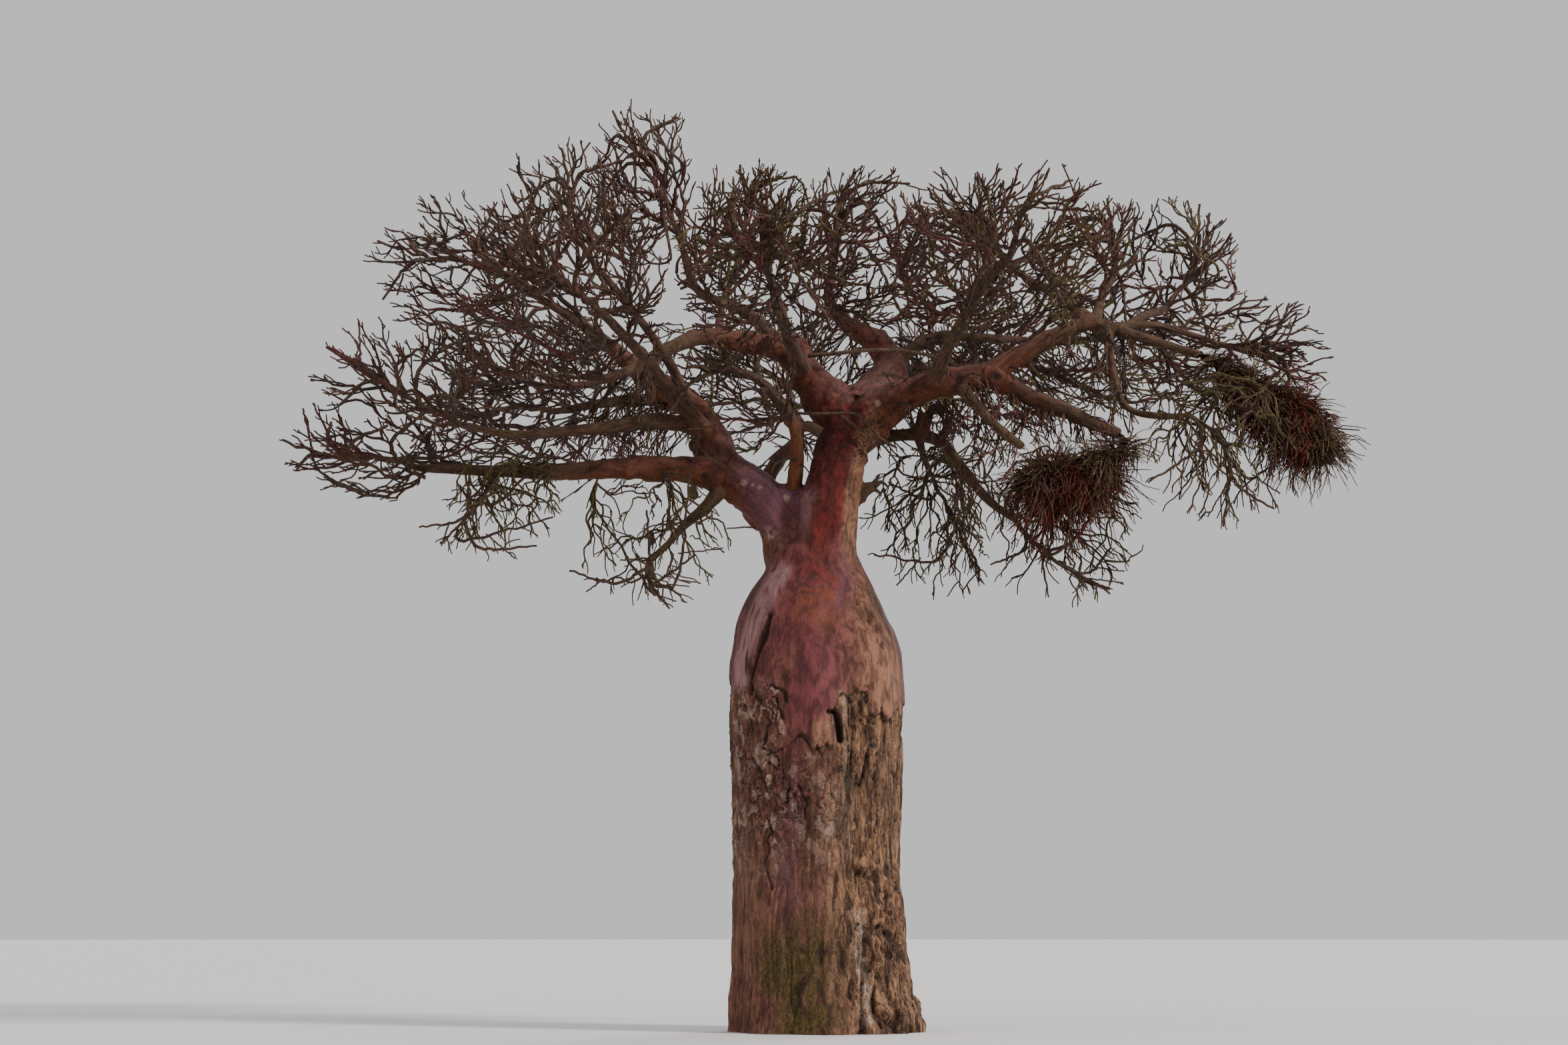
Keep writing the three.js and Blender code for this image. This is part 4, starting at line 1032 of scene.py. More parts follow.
class TrunkBark:
    """The trunk's bark at places on its skin, layer by layer: how far the skin moves out there, and how
    much of each form and tone it has, painted shade and a painted highlight among them"""

    def __init__(self, places):
        x, y, z = places.T
        heights, radii, sides = np.array(TRUNK_LEVELS).T
        self.places, self.x, self.z = places, x, z
        self.aside = x - np.interp(z, heights, sides)
        self.turn = np.degrees(np.arctan2(y, self.aside))
        self.front = ramp(-y, 0.1, 0.45)
        drift = [cloud(places, (0.35, 0.35, 0.6), seed) for seed in (1, 2)]
        self.bent = places + 0.05 * np.column_stack((*drift, 0 * x))
        self.near_x = x + 0.07 * cloud(places, 0.16, 18, 2)
        self.near_z = z + 0.07 * cloud(places, 0.16, 31, 2)
        self.foot = np.clip(1 - z / FOOT_HEIGHT, 0, 1) ** 2
        lobes = LOBE_ABOVE + (LOBE_AT_FOOT - LOBE_ABOVE) * self.foot
        lobes = lobes * np.cos(TRUNK_LOBES * np.radians(self.turn))
        self.move = lobes * np.interp(z, heights, radii) * ramp(7.0 - z, 0, 0.8)
        self.move += 0.022 * cloud(places, (0.5, 0.5, 1.6), 3, 2)

    def bare_bark(self):
        """Where the smooth skin above ends in a ragged edge, and how furrowed the bark is below it"""
        places, turn = self.places, self.turn
        run = np.radians(turn) * TRUNK_RADIUS / TOOTH_WIDTH + 0.9 * cloud(places, 0.5, 4)
        saw = np.abs(run % 1 - 0.5) * 2
        ends = np.interp(turn, ROUND, SKIN_ENDS)
        ends = ends + 0.2 * (saw - 0.5) * (0.5 + 0.5 * cloud(places, 0.5, 5))
        ends += 0.22 * cloud(places, 0.26, 6, 3)
        self.below_skin = ends - self.z
        furrowed = np.interp(turn, ROUND, FURROWED)
        self.furrowed = np.clip(furrowed + 0.3 * cloud(places, (0.6, 0.6, 1.4), 7, 2), 0, 1)
        torn = ramp(self.furrowed, 0.3, 0.6)
        ragged = ramp(self.below_skin, -0.012, 0.03)
        gentle = ramp(self.below_skin, -0.3, 0.9)
        self.bare = ragged * torn + gentle * (1 - torn)
        self.move -= 0.03 * ragged * torn

    def furrows(self):
        """Furrows between ridges that run up the trunk"""
        bent, bare, furrowed = self.bent, self.bare, self.furrowed
        wide = np.abs(cloud(bent, (0.12, 0.12, 0.75), 8))
        fine = np.abs(cloud(bent, (0.06, 0.06, 0.35), 9))
        broken = cloud(self.places, (0.25, 0.25, 0.4), 30, 2) + 0.5 * ramp(self.z, 2.6, 3.6)
        self.deep = hump(wide, 0, 0.17) * bare * (0.2 + 0.8 * furrowed) * ramp(broken, -0.3, 0.2)
        self.small = hump(fine, 0, 0.22) * bare * furrowed
        self.move += bare * furrowed * 0.045 * cloud(bent, (0.18, 0.18, 0.9), 10, 2)
        smooth = (1 - bare * furrowed) * ramp(4.6 - self.z, 0, 1)
        self.move += smooth * 0.022 * cloud(bent, (0.2, 0.2, 2.0), 34)
        self.move -= (0.055 + 0.035 * self.foot) * self.deep + 0.017 * self.small
        self.move += 0.01 * cloud(bent, (0.05, 0.05, 0.14), 11) * bare

    def flakes(self):
        """Loose flakes with lifted edges, most on the left"""
        places, bent, z, front = self.places, self.bent, self.z, self.front
        left = ramp(-0.42 - self.x, 0, 0.25) * front
        left = left + 0.6 * (1 - front) * ramp(cloud(places, (0.9, 0.9, 1.2), 28), -0.1, 0.3)
        flaky = np.clip(self.bare + left * ramp(5.25 - z, 0, 0.3), 0, 1) * (1 - self.furrowed)
        self.flaky = flaky * ramp(z, 1.9, 3.2) * ramp(5.5 - z, 0, 0.3)
        run = 2.6 * cloud(bent, (0.3, 0.3, 0.4), 12, 2) + 0.5 * cloud(bent, 0.12, 13)
        rest = run - np.floor(run)
        self.lifted = ramp(rest, 0.6, 0.97) * (1 - ramp(rest, 0.985, 1))
        self.torn = hump(np.minimum(rest, 1 - rest), 0, 0.06) * ramp(cloud(places, 0.35, 29), -0.35, 0.1)
        chips = ramp(cloud(bent, (0.09, 0.09, 0.12), 35), 0.35, 0.55)
        self.chips = chips * ramp(cloud(places, 0.4, 36), -0.1, 0.3)
        self.move += self.flaky * (0.03 * self.lifted - 0.02 * self.torn + 0.014 * self.chips)

    def warts(self):
        """Warts low on the right, and in places behind"""
        places, z, front = self.places, self.z, self.front
        warty = ramp(self.aside, 0.3, 0.75) * ramp(z, 0.5, 1.1) * ramp(2.75 - z, 0, 0.5) * front
        behind = ramp(cloud(places, 1.3, 14), 0.25, 0.5) * ramp(3.2 - z, 0, 0.8) * (1 - front)
        warty = np.maximum(warty, behind)
        lump = cloud(places, 0.17, 15, 2)
        small_lump = cloud(places, 0.08, 16)
        self.move += warty * (0.09 * np.maximum(lump, -0.45) + 0.035 * small_lump)
        # Painted shade in the hollows between the warts
        between = np.maximum(ramp(-lump, 0.15, 0.45), 0.7 * ramp(-small_lump, 0.25, 0.5))
        self.pitted = 0.9 * warty * between

    def buttress(self):
        """The buttress at the right foot, with deep clefts"""
        z, aside, front = self.z, self.aside, self.front
        self.move += 0.05 * (ramp(aside, 0.75, 1.2) * ramp(1.5 - z, 0, 1.3) * front)
        cleft = hump(cloud(self.bent, (0.2, 0.2, 1.1), 17), 0, 0.13) * ramp(1.9 - z, 0, 0.9)
        self.cleft = cleft * (0.35 + 0.65 * ramp(aside, 0.1, 0.8) * front)
        self.move -= 0.06 * self.cleft

    def lifted_plate(self):
        """The lifted plate by the hole, with its toothed lower edge and the shade under it"""
        x, z, front = self.x, self.z, self.front
        plate_x, plate_z, wide, high = PLATE
        teeth = np.abs((x / 0.13) % 1 - 0.5) * 2 - 0.5
        lower = plate_z - high + 0.14 * teeth + 0.3 * np.abs(x - plate_x)
        lower += 0.06 * cloud(self.places, 0.08, 37)
        plate = ramp(wide - np.abs(self.near_x - plate_x), 0, 0.03) * ramp(z - lower, 0, 0.02)
        self.plate = plate * ramp(plate_z + high - z, 0, 0.35) * front
        under = ramp(lower - z, -0.01, 0.01) * ramp(z - lower + 0.07, 0, 0.05) * front
        self.under_plate = under * ramp(wide + 0.04 - np.abs(x - plate_x), 0, 0.03)

    def marks(self):
        """Marks that have their own places on the front"""
        x, z, near_x, near_z, front = self.x, self.z, self.near_x, self.near_z, self.front
        slit = drawn(SLIT, x, z, 0.03 + 0.022 * hump(z, 5.82, 0.14), 4)
        self.slit = np.maximum(slit, drawn(SLIT_FOOT, x, z, 0.024, 4)) * front
        thin = np.maximum(0.018 + 0.02 * cloud(self.places, 0.25, 32), 0.008)
        crack = np.maximum.reduce([drawn(line, near_x, near_z, thin) for line in CRACKS]) * front
        self.crack = crack * ramp(cloud(self.places, 0.3, 33), -0.7, -0.2)
        self.hole = drawn(HOLE, x, near_z, 0.028 + 0.022 * ramp(4.7 - z, 0, 0.3), 4) * front
        self.tongue = drawn(DARK_TONGUE, near_x, z, 0.05) * front
        self.pits = spotted(SHOULDER_PITS, near_x, z, 0.7) * front
        self.hollow = oval(near_x, z, *HOLLOW) * front
        neck_cleft = drawn(NECK_CLEFT, x, z, 0.06) * front
        collar = np.maximum.reduce([drawn(line, x, near_z, 0.022) for line in COLLAR_WRINKLES])
        self.collar = collar * front
        self.move += (
            0.03 * self.plate - 0.1 * self.slit - 0.032 * self.crack - 0.11 * self.hole
            - 0.035 * self.tongue - 0.04 * self.pits - 0.06 * self.hollow)
        self.move -= 0.045 * neck_cleft + 0.018 * self.collar

    def reds(self):
        """How much rose, plum, maroon, lilac and ochre the bark has"""
        places, bent, x, z, front = self.places, self.bent, self.x, self.z, self.front
        rose = ramp(cloud(places, (0.9, 0.9, 2.2), 22, 2) + 0.25, -0.15, 0.5) * (1 - front)
        middle = -0.22 + 0.12 * ramp(5.6 - z, 0, 1)
        half_wide = 0.62 - 0.3 * ramp(5.4 - z, 0, 1.2)
        apron = front * hump(x, middle, half_wide, 4) * ramp(cloud(bent, (0.2, 0.2, 0.9), 39), -0.9, -0.2)
        rose = np.maximum(rose, apron)
        rose *= (1 - 0.85 * self.bare * self.furrowed) * ramp(z, 3.9, 4.7)
        patches = 0.45 * ramp(cloud(places, (0.5, 0.5, 1.8), 40), 0, 0.5) * ramp(4.6 - z, 0, 0.6)
        wash = ramp(0.2 - x, 0, 0.5) * ramp(4.9 - z, 0, 0.6) * ramp(z, 0.8, 1.8)
        wash = 0.5 * (wash * (1 - 0.7 * self.furrowed) * front)
        wash = wash * ramp(cloud(bent, (0.25, 0.25, 1.4), 59), -0.7, 0.2)
        stripe = hump(self.near_x, -0.43, 0.2, 4) * ramp(4.1 - z, 0, 0.7) * ramp(z, 1.2, 2.2) * front
        rose = np.maximum.reduce((rose, patches * (1 - self.furrowed), wash, 0.6 * stripe))
        # Painted shade in plum down the neck's cleft, and in the collar's wrinkles
        plum = 0.6 * drawn(NECK_CLEFT, self.near_x, z, 0.1) * front
        maroon = front * hump(x, 0.08, 0.36, 4) * ramp(z, 6.1, 6.7)
        maroon = 0.8 * maroon * ramp(cloud(bent, (0.2, 0.2, 0.5), 57), -0.8, 0.1)
        red_spots = spotted(RED_SPOTS, self.near_x, self.near_z, 0.6) * front
        lilac = drawn(LILAC_STREAK, x, z, 0.17, 4) * front * ramp(z, 4.95, 5.25)
        lilac *= ramp(cloud(places, (0.1, 0.1, 0.4), 21) + 0.7, 0, 0.5) * (1 - self.slit)
        ochre = oval(x, z, (-0.06, 6.3), (0.4, 0.4), 4) * front
        ochre *= 0.75 * ramp(cloud(bent, (0.08, 0.08, 0.5), 25, 2) + 0.6, 0, 0.8)
        return {
            "rose": rose, "plum": np.maximum.reduce((plum, 0.4 * self.collar, 0.35 * stripe)),
            "maroon": np.maximum(maroon, 0.9 * red_spots), "lilac": lilac, "ochre": ochre}

    def browns(self):
        """How much moss, olive and tan the bark has"""
        places, x, z, front = self.places, self.x, self.z, self.front
        moss = hump(x + 0.28 + 0.3 * cloud(places, 0.5, 56), 0, 0.56, 4) * front * ramp(2.0 - z, 0, 0.8)
        behind = ramp(cloud(places, (0.7, 0.7, 0.9), 23) - 0.2, 0, 0.4) * (1 - front)
        moss = np.maximum(moss, behind * ramp(1.9 - z, 0, 0.9))
        moss *= ramp(cloud(places, (0.14, 0.14, 0.3), 24, 3) + 0.6, 0, 0.6)
        furrow = self.bare * self.furrowed
        olive = 0.5 * self.bare * self.furrowed * ramp(cloud(places, (0.5, 0.5, 1.1), 58, 2), -0.1, 0.3)
        right = 0.8 * ramp(self.aside, 0.3 + 0.2 * ramp(4.5 - z, 0, 1), 0.9) * front
        behind = 0.6 * ramp(cloud(places, (0.8, 0.8, 1.8), 26), 0, 0.5) * (1 - front)
        tan = np.maximum.reduce((furrow, right, behind, 0.9 * self.plate))
        return {"moss": moss, "olive": olive, "tan": tan, "furrow": furrow, "flaky": self.flaky}

    def darks_and_pales(self):
        """How much dark and cream the bark has. Most of the dark is painted shade in the slit, the hole, the
        cracks, clefts, furrows, pits, hollows and wrinkles, under the flakes' torn edges, under the plate and
        under the smooth skin's ragged edge
        """
        places, x, z, front = self.places, self.x, self.z, self.front
        # Painted shadow under the smooth skin's ragged lower edge
        shade = ramp(self.below_skin, -0.01, 0.02) * ramp(0.11 - self.below_skin, 0, 0.07)
        shade = shade * ramp(self.furrowed, 0.35, 0.6)
        patches = 0.75 * ramp(cloud(places, (0.14, 0.14, 0.3), 51, 2), 0.0, 0.3)
        patches = patches * hump(x, -0.05, 0.5, 4) * front * ramp(1.5 - z, 0, 0.8)
        # The dark: painted shade in the recesses and under the edges, and dark patches low down
        dark = np.maximum.reduce((
            0.75 * self.deep, 0.4 * self.small, self.flaky * self.torn * 0.85, 0.8 * self.cleft,
            self.slit, self.crack, self.hole, 0.75 * self.tongue, 0.6 * self.pits, 0.85 * self.hollow,
            self.pitted, 0.9 * shade, 0.9 * self.under_plate, patches, 0.3 * self.collar))
        streak = drawn(PALE_STREAK, self.near_x, z, 0.06) * front
        streak = streak * ramp(cloud(self.bent, (0.03, 0.03, 0.3), 38), -0.5, 0)
        # A painted highlight in cream down the lit ridge
        ridge = drawn(LIT_RIDGE, self.near_x, z, 0.07) * front
        flake = np.maximum(self.lifted, self.chips) * ramp(cloud(places, 0.3, 27), 0.1, 0.35)
        flake = flake * (1 - 0.5 * ramp(x, -0.6, -0.2) * front)
        cream = np.maximum.reduce((self.flaky * flake, 0.9 * streak, 0.25 * ridge * (z < 5)))
        return {"dark": dark, "cream": cream}


def trunk_relief(places):
    """How far the trunk's skin moves out at each place, and its tones there, painted shade and a painted
    highlight among them
    """
    bark = TrunkBark(places)
    bark.bare_bark()
    bark.furrows()
    bark.flakes()
    bark.warts()
    bark.buttress()
    bark.lifted_plate()
    bark.marks()
    return bark.move, bark.reds() | bark.browns() | bark.darks_and_pales()


class LimbBark:
    """The bark of the stems and boughs at places on their skin, in the same way as the trunk's"""

    def __init__(self, places, outward, radius, grain):
        x, y, z = places.T
        self.places, self.x, self.z, self.radius, self.grain = places, x, z, radius, grain
        self.front = -y
        self.under = ramp(-outward[:, 2], -0.15, 0.6)
        self.upper = ramp(outward[:, 2], 0.1, 0.8)
        thick = np.clip(radius / 0.35, 0.2, 1)
        lumps = 0.12 * cloud(places, 0.45, 41, 2) + 0.11 * cloud(places, 0.17, 42, 2)
        self.move = np.minimum(radius, 0.25) * lumps
        self.knob = ramp(cloud(places, 0.3, 43), 0.4, 0.65)
        self.move += self.knob * 0.25 * np.minimum(radius, 0.16)
        self.move += 0.02 * thick * cloud(grain, (0.12, 0.12, 0.9), 44)
        rings = np.abs(cloud(grain, (0.35, 0.35, 0.07), 45))
        self.crack = hump(rings, 0, 0.1) * ramp(cloud(places, 0.5, 46), 0.1, 0.4)
        self.move -= 0.012 * self.crack * thick
        self.move -= (
            0.13 * hump(z, 7.42, 0.3) * ramp(-outward[:, 0], 0.1, 0.8) * ramp(-0.35 - x, 0, 0.3))
        knot_holes = spotted(KNOT_HOLES, x, z)
        self.knot_holes = knot_holes * ramp(-outward[:, 1], 0.0, 0.4)
        self.move -= 0.03 * self.knot_holes

    def right_stem(self):
        """The right stem: pale rose on its left edge, maroon in the middle, and painted light in tan on its
        right side
        """
        x, z = self.x, self.z
        across = (x - np.interp(z, STEM_HEIGHTS, STEM_SIDES)) / STEM_RADIUS
        self.on_stem = ramp(1.25 - np.abs(across), 0, 0.1) * (z < 9.45) * ramp(self.radius, 0.3, 0.4)
        self.facing = self.on_stem * ramp(self.front, -0.1, 0.2)
        edge = across + 0.2 * cloud(self.grain, (0.15, 0.15, 0.6), 47, 2)
        # Painted light: the stem's right side, where the light falls, is laid on in tan
        self.lit = self.facing * ramp(edge, 0.3, 0.6)
        self.pale_side = self.facing * hump(edge, -0.85, 0.28) * ramp(8.3 - z, 0, 0.4)
        self.crotch = oval(x, z, (0.62, 9.3), (0.5, 0.28))

    def reds(self):
        """How much rose, plum, maroon, lilac and ochre the bark has; the lilac on the limbs' upper sides is a
        painted highlight
        """
        places, radius, x, z = self.places, self.radius, self.x, self.z
        maroon = self.facing * (1 - self.lit) * (1 - self.pale_side)
        boughs = 0.55 * ramp(radius, 0.14, 0.3) * ramp(cloud(places, 0.7, 48, 2), -0.3, 0.3)
        maroon = np.maximum.reduce((maroon, 0.9 * self.crotch, boughs * (1 - self.on_stem)))
        saddle = ramp(radius, 0.17, 0.24) * ramp(-0.02 - x, 0, 0.25) * ramp(x + 1.4, 0, 0.4)
        plum = saddle * ramp(z, 7.2, 7.6) * ramp(8.65 - z, 0, 0.3) * (1 - 0.4 * self.under)
        # Pale lilac on the upper sides of the thick limbs: a painted highlight
        lilac = 0.22 * self.upper * ramp(radius, 0.2, 0.35) * (1 - self.crotch) + 0.6 * self.pale_side
        ochre = 0.4 + 0.6 * ramp(cloud(places, 0.35, 53, 2) + 0.3, 0, 0.6)
        ochre = self.under * ramp(radius, 0.1, 0.2) * ochre
        stem_middle = hump(x, -0.38, 0.2) * ramp(z, 7.6, 8) * ramp(9.3 - z, 0, 0.4)
        stem_middle = stem_middle * ramp(0.2 - radius, 0, 0.05)
        return {
            "rose": 0.2 * ramp(radius, 0.16, 0.34), "plum": plum, "maroon": maroon, "lilac": lilac,
            "ochre": np.maximum(ochre * (1 - 0.7 * self.facing), 0.9 * stem_middle)}

    def browns(self):
        """How much brown, olive, tan and moss the bark has; here the tan is painted light"""
        places = self.places
        thin_part = ramp(0.17 - self.radius, 0, 0.07)
        olive = 0.5 * self.upper * ramp(cloud(places, 0.6, 54), -0.2, 0.3)
        return {
            "brown": np.full(len(places), 0.8),
            "olive": np.maximum(thin_part, olive) * (1 - self.on_stem),
            # Painted light in tan: the right stem's lit side, and a painted highlight on the tops of the thin
            # limbs
            "tan": np.maximum(self.lit, 0.2 * self.upper * thin_part),
            "moss": 0.3 * thin_part * ramp(cloud(places, 0.5, 49) + 0.2, 0, 0.6)}

    def darks_and_pales(self):
        """How much dark, stipple and cream the bark has; the dark in the cracks and knot holes is painted
        shade
        """
        places, radius, x, z = self.places, self.radius, self.x, self.z
        stipple_top = self.facing * ramp(z, 8.1, 8.7) * ramp(9.35 - z, 0, 0.3)
        speckled = (0.35 + 0.65 * self.under) * ramp(radius, 0.14, 0.3) * ramp(z, 7.6, 8.4)
        speckled = np.maximum(speckled, stipple_top)
        knobs = 0.3 * self.knob * ramp(cloud(places, 0.08, 55), 0.1, 0.4)
        # Painted shade in the cracks and the knot holes, with darker speckled parts and spots on the knobs
        dark = np.maximum.reduce((0.45 * self.crack, 0.35 * speckled, 0.85 * self.knot_holes, knobs))
        lichen = spotted(LICHEN, x, z, edge=2) * ramp(cloud(places, 0.07, 52), -0.2, 0.1)
        cream = np.maximum(0.6 * spotted(PALE_SPOTS, x, z), 0.8 * lichen)
        return {"dark": dark, "speckled": speckled, "cream": cream * ramp(self.front, -0.2, 0.1)}


def limb_relief(places, outward, radius, grain):
    """How far a limb's skin moves out at each place, and its tones there, painted shade and painted light
    among them
    """
    bark = LimbBark(places, outward, radius, grain)
    bark.right_stem()
    return bark.move, bark.reds() | bark.browns() | bark.darks_and_pales()


# The layers that the skin carries to the bark's material: tones, with painted shade in dark, and painted
# light in parts of tan, lilac and cream
TONES_AND_PAINTED_LIGHT = (
    "rose", "lilac", "ochre", "plum", "maroon", "moss", "tan", "brown", "olive", "dark", "cream", "furrow",
    "flaky", "speckled")


def bark_skin():
    """The whole wood's skin with its relief, and how much of each tone, painted shade and painted light every
    place carries
    """
    lines = list(wood_lines())
    mesh = skin_of(lines)
    count = len(mesh.vertices)
    places = np.empty(count * 3, np.float32)
    mesh.vertices.foreach_get("co", places)
    places = places.reshape(-1, 3).astype(float)
    edges = np.empty(len(mesh.edges) * 2, np.int32)
    mesh.edges.foreach_get("vertices", edges)
    edges = edges.reshape(-1, 2)
    radius, off_trunk, grain = nearest_limb(places, lines)
    places = relaxed(places, edges, np.clip(radius * 2.2, 0.12, 0.6), 8)
    crotch = np.clip(1 - np.abs(off_trunk) / 0.3, 0, 1) * (places[:, 2] > 6.3)
    places = relaxed(places, edges, 0.7 * crotch, 14)
    mesh.vertices.foreach_set("co", places.astype(np.float32).ravel())
    mesh.update()
    outward = np.empty(count * 3, np.float32)
    mesh.vertex_normals.foreach_get("vector", outward)
    outward = outward.reshape(-1, 3).astype(float)
    on_limb = ramp(off_trunk, -0.28, 0.28) * (places[:, 2] > 6)
    move = np.zeros(count)
    carried = {name: np.zeros(count) for name in TONES_AND_PAINTED_LIGHT}
    for rows, share_of, (moved, finishes) in (
        relief_rows(on_limb < 1, 1 - on_limb, trunk_relief, places),
        relief_rows(on_limb > 0, on_limb, limb_relief, places, outward, radius, grain),
    ):
        move[rows] += moved * share_of
        for name, amount in finishes.items():
            carried[name][rows] += np.clip(amount, 0, 1) * share_of
    places = places + outward * move[:, None]
    mesh.vertices.foreach_set("co", places.astype(np.float32).ravel())
    grain_way = mesh.attributes.new("grain_place", "FLOAT_VECTOR", "POINT")
    grain_way.data.foreach_set("vector", grain.astype(np.float32).ravel())
    for name, amount in carried.items():
        mesh.attributes.new(name, "FLOAT", "POINT").data.foreach_set("value", amount.astype(np.float32))
    mesh.polygons.foreach_set("use_smooth", np.ones(len(mesh.polygons), bool))
    mesh.update()
    return mesh


def relief_rows(wanted, amount, relief, *fields):
    rows = np.flatnonzero(wanted)
    return rows, amount[rows], relief(*(field[rows] for field in fields))


def bark_piece(name, skin, cuts, finish, nodes):
    """The part of the skin behind every cut, closed there, in place of its nodes"""
    shell = bmesh.new()
    shell.from_mesh(skin)
    for place, way in cuts:
        parts = shell.verts[:] + shell.edges[:] + shell.faces[:]
        cut = bmesh.ops.bisect_plane(
            shell, geom=parts, dist=1e-5, plane_co=place, plane_no=way, clear_outer=True)
        rim = [part for part in cut["geom_cut"] if isinstance(part, bmesh.types.BMEdge)]
        bmesh.ops.holes_fill(shell, edges=rim, sides=0)
        for edge in rim:
            edge.smooth = False
    loose = [vert for vert in shell.verts if not vert.link_faces]
    bmesh.ops.delete(shell, geom=loose, context="VERTS")
    mesh = bpy.data.meshes.new(name)
    shell.to_mesh(mesh)
    shell.free()
    mesh.materials.append(finish)
    piece = bpy.data.objects.new(name, mesh)
    bpy.context.scene.collection.objects.link(piece)
    finished(piece, nodes)
    return piece


def finished(piece, nodes=()):
    """The piece rides on the tree and stands in for its nodes"""
    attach(piece, "root")
    if nodes:
        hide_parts(*nodes)


# Finishes

class Amount:
    """A number that changes over a surface, so that sums on it read as plain expressions"""

    def __init__(self, finish, socket):
        self.finish = finish
        self.socket = socket

    def worked(self, operation, *values, clamp=False):
        node = self.finish.node("Math", {"operation": operation, "use_clamp": clamp}, dict(enumerate(values)))
        return Amount(self.finish, node.outputs[0])

    def __add__(self, other):
        return self.worked("ADD", self, other)

    def __radd__(self, other):
        return self.worked("ADD", other, self)

    def __sub__(self, other):
        return self.worked("SUBTRACT", self, other)

    def __rsub__(self, other):
        return self.worked("SUBTRACT", other, self)

    def __mul__(self, other):
        return self.worked("MULTIPLY", self, other)

    def __rmul__(self, other):
        return self.worked("MULTIPLY", other, self)

    def __truediv__(self, other):
        return self.worked("DIVIDE", self, other)

    def __pow__(self, other):
        return self.worked("POWER", self, other)

    def between(self, low, high):
        """0 below the low value, 1 above the high one, and a smooth rise between them"""
        node = self.finish.node(
            "MapRange", {"interpolation_type": "SMOOTHSTEP"},
            {"Value": self, "From Min": low, "From Max": high})
        return Amount(self.finish, node.outputs[0])

    def kept(self):
        """Held between 0 and 1"""
        return self.worked("ADD", self, 0, clamp=True)


class Finish:
    """A material whose nodes are made one by one"""

    def __init__(self, name, **values):
        self.material = bpy.data.materials.new(name)
        self.material.use_nodes = True
        self.tree = self.material.node_tree
        self.shader = self.tree.nodes["Principled BSDF"]
        self.place = self.node("TexCoord").outputs["Object"]
        self.set(self.shader, values)

    def set(self, node, values):
        for name, value in values.items():
            value = value.socket if isinstance(value, Amount) else value
            if isinstance(value, bpy.types.NodeSocket):
                self.tree.links.new(value, node.inputs[name])
            else:
                node.inputs[name].default_value = value

    def node(self, kind, settings=None, values=None):
        node = self.tree.nodes.new("ShaderNode" + kind)
        for name, setting in (settings or {}).items():
            setattr(node, name, setting)
        self.set(node, values or {})
        return node

    def noise(self, size, stretch=(1, 1, 1), detail=3, bend=0):
        """Noise from 0 to 1 whose lumps are about as wide as size, times the stretch each way"""
        scale = tuple(1 / (size * way) for way in stretch)
        laid = self.node("Mapping", {}, {"Vector": self.place, "Scale": scale})
        grain = self.node("TexNoise", {}, {
            "Vector": laid.outputs[0], "Scale": 1, "Detail": detail, "Roughness": 0.6, "Distortion": bend})
        return Amount(self, grain.outputs[0])

    def cells(self, size, bend):
        """Cells about as wide as size each way, with bent borders: how far a place lies from its cell's
        border, from 0 to about 0.5, and a tone from 0 to 1 that differs from cell to cell"""
        drift = self.node("TexNoise", {}, {"Vector": self.place, "Scale": 3 / size[2], "Detail": 3})
        moved = self.node("VectorMath", {"operation": "SCALE"}, {0: drift.outputs["Color"], "Scale": bend})
        bent = self.node("VectorMath", {"operation": "ADD"}, {0: self.place, 1: moved.outputs[0]})
        laid = self.node("Mapping", {}, {
            "Vector": bent.outputs[0], "Scale": tuple(1 / way for way in size)})
        across = {"Vector": laid.outputs[0], "Scale": 1}
        border = self.node("TexVoronoi", {"feature": "DISTANCE_TO_EDGE"}, across)
        inside = self.node("TexVoronoi", {"feature": "F1"}, across)
        parts = self.node("SeparateColor", {}, {0: inside.outputs["Color"]})
        return Amount(self, border.outputs["Distance"]), Amount(self, parts.outputs[0])

    def carried(self, name):
        return Amount(self, self.node("Attribute", {"attribute_name": name}).outputs["Fac"])

    def mixed(self, amount, first, second, blend="MIX"):
        node = self.node("Mix", {"data_type": "RGBA", "blend_type": blend}, {0: amount, 6: first, 7: second})
        return node.outputs[2]

    def laid(self, colour, name, amount, tint):
        """A colour with a tint over it where the surface carries the named finish, times an amount"""
        return self.mixed((self.carried(name) * amount).kept(), colour, tint)

    def bumped(self, height, distance, strength=1.0):
        return self.node("Bump", {}, {
            "Height": height, "Distance": distance, "Strength": strength}).outputs[0]


def tone(code):
    """A colour from its six-figure code, as light"""
    parts = [int(code[index:index + 2], 16) / 255 for index in (0, 2, 4)]
    return (*((part / 12.92 if part <= 0.04045 else ((part + 0.055) / 1.055) ** 2.4) for part in parts), 1)


MAUVE = tone("6f443b")
MAUVE_DEEP = tone("3f241d")
ROSE = tone("6c3537")
ROSE_DEEP = tone("4a2023")
MAROON = tone("67211c")
MAROON_DEEP = tone("3a1413")
PLUM = tone("64404a")
LILAC = tone("966f70")
OCHRE = tone("6c3b1e")
MOSS = tone("54491f")
MOSS_DEEP = tone("2a2410")
TAN = tone("90684f")
TAN_DEEP = tone("583d2e")
RIDGE = tone("8b674c")
# The furrows' lows: the bark's tone with painted shade
SHADED_GROOVE = tone("38261b")
CREAM = tone("b99e8b")
BROWN = tone("603a2a")
BROWN_DEEP = tone("3a2218")
OLIVE = tone("554134")
OLIVE_DEEP = tone("32261f")
DARK = tone("1b100c")
STIPPLE = tone("2c140c")


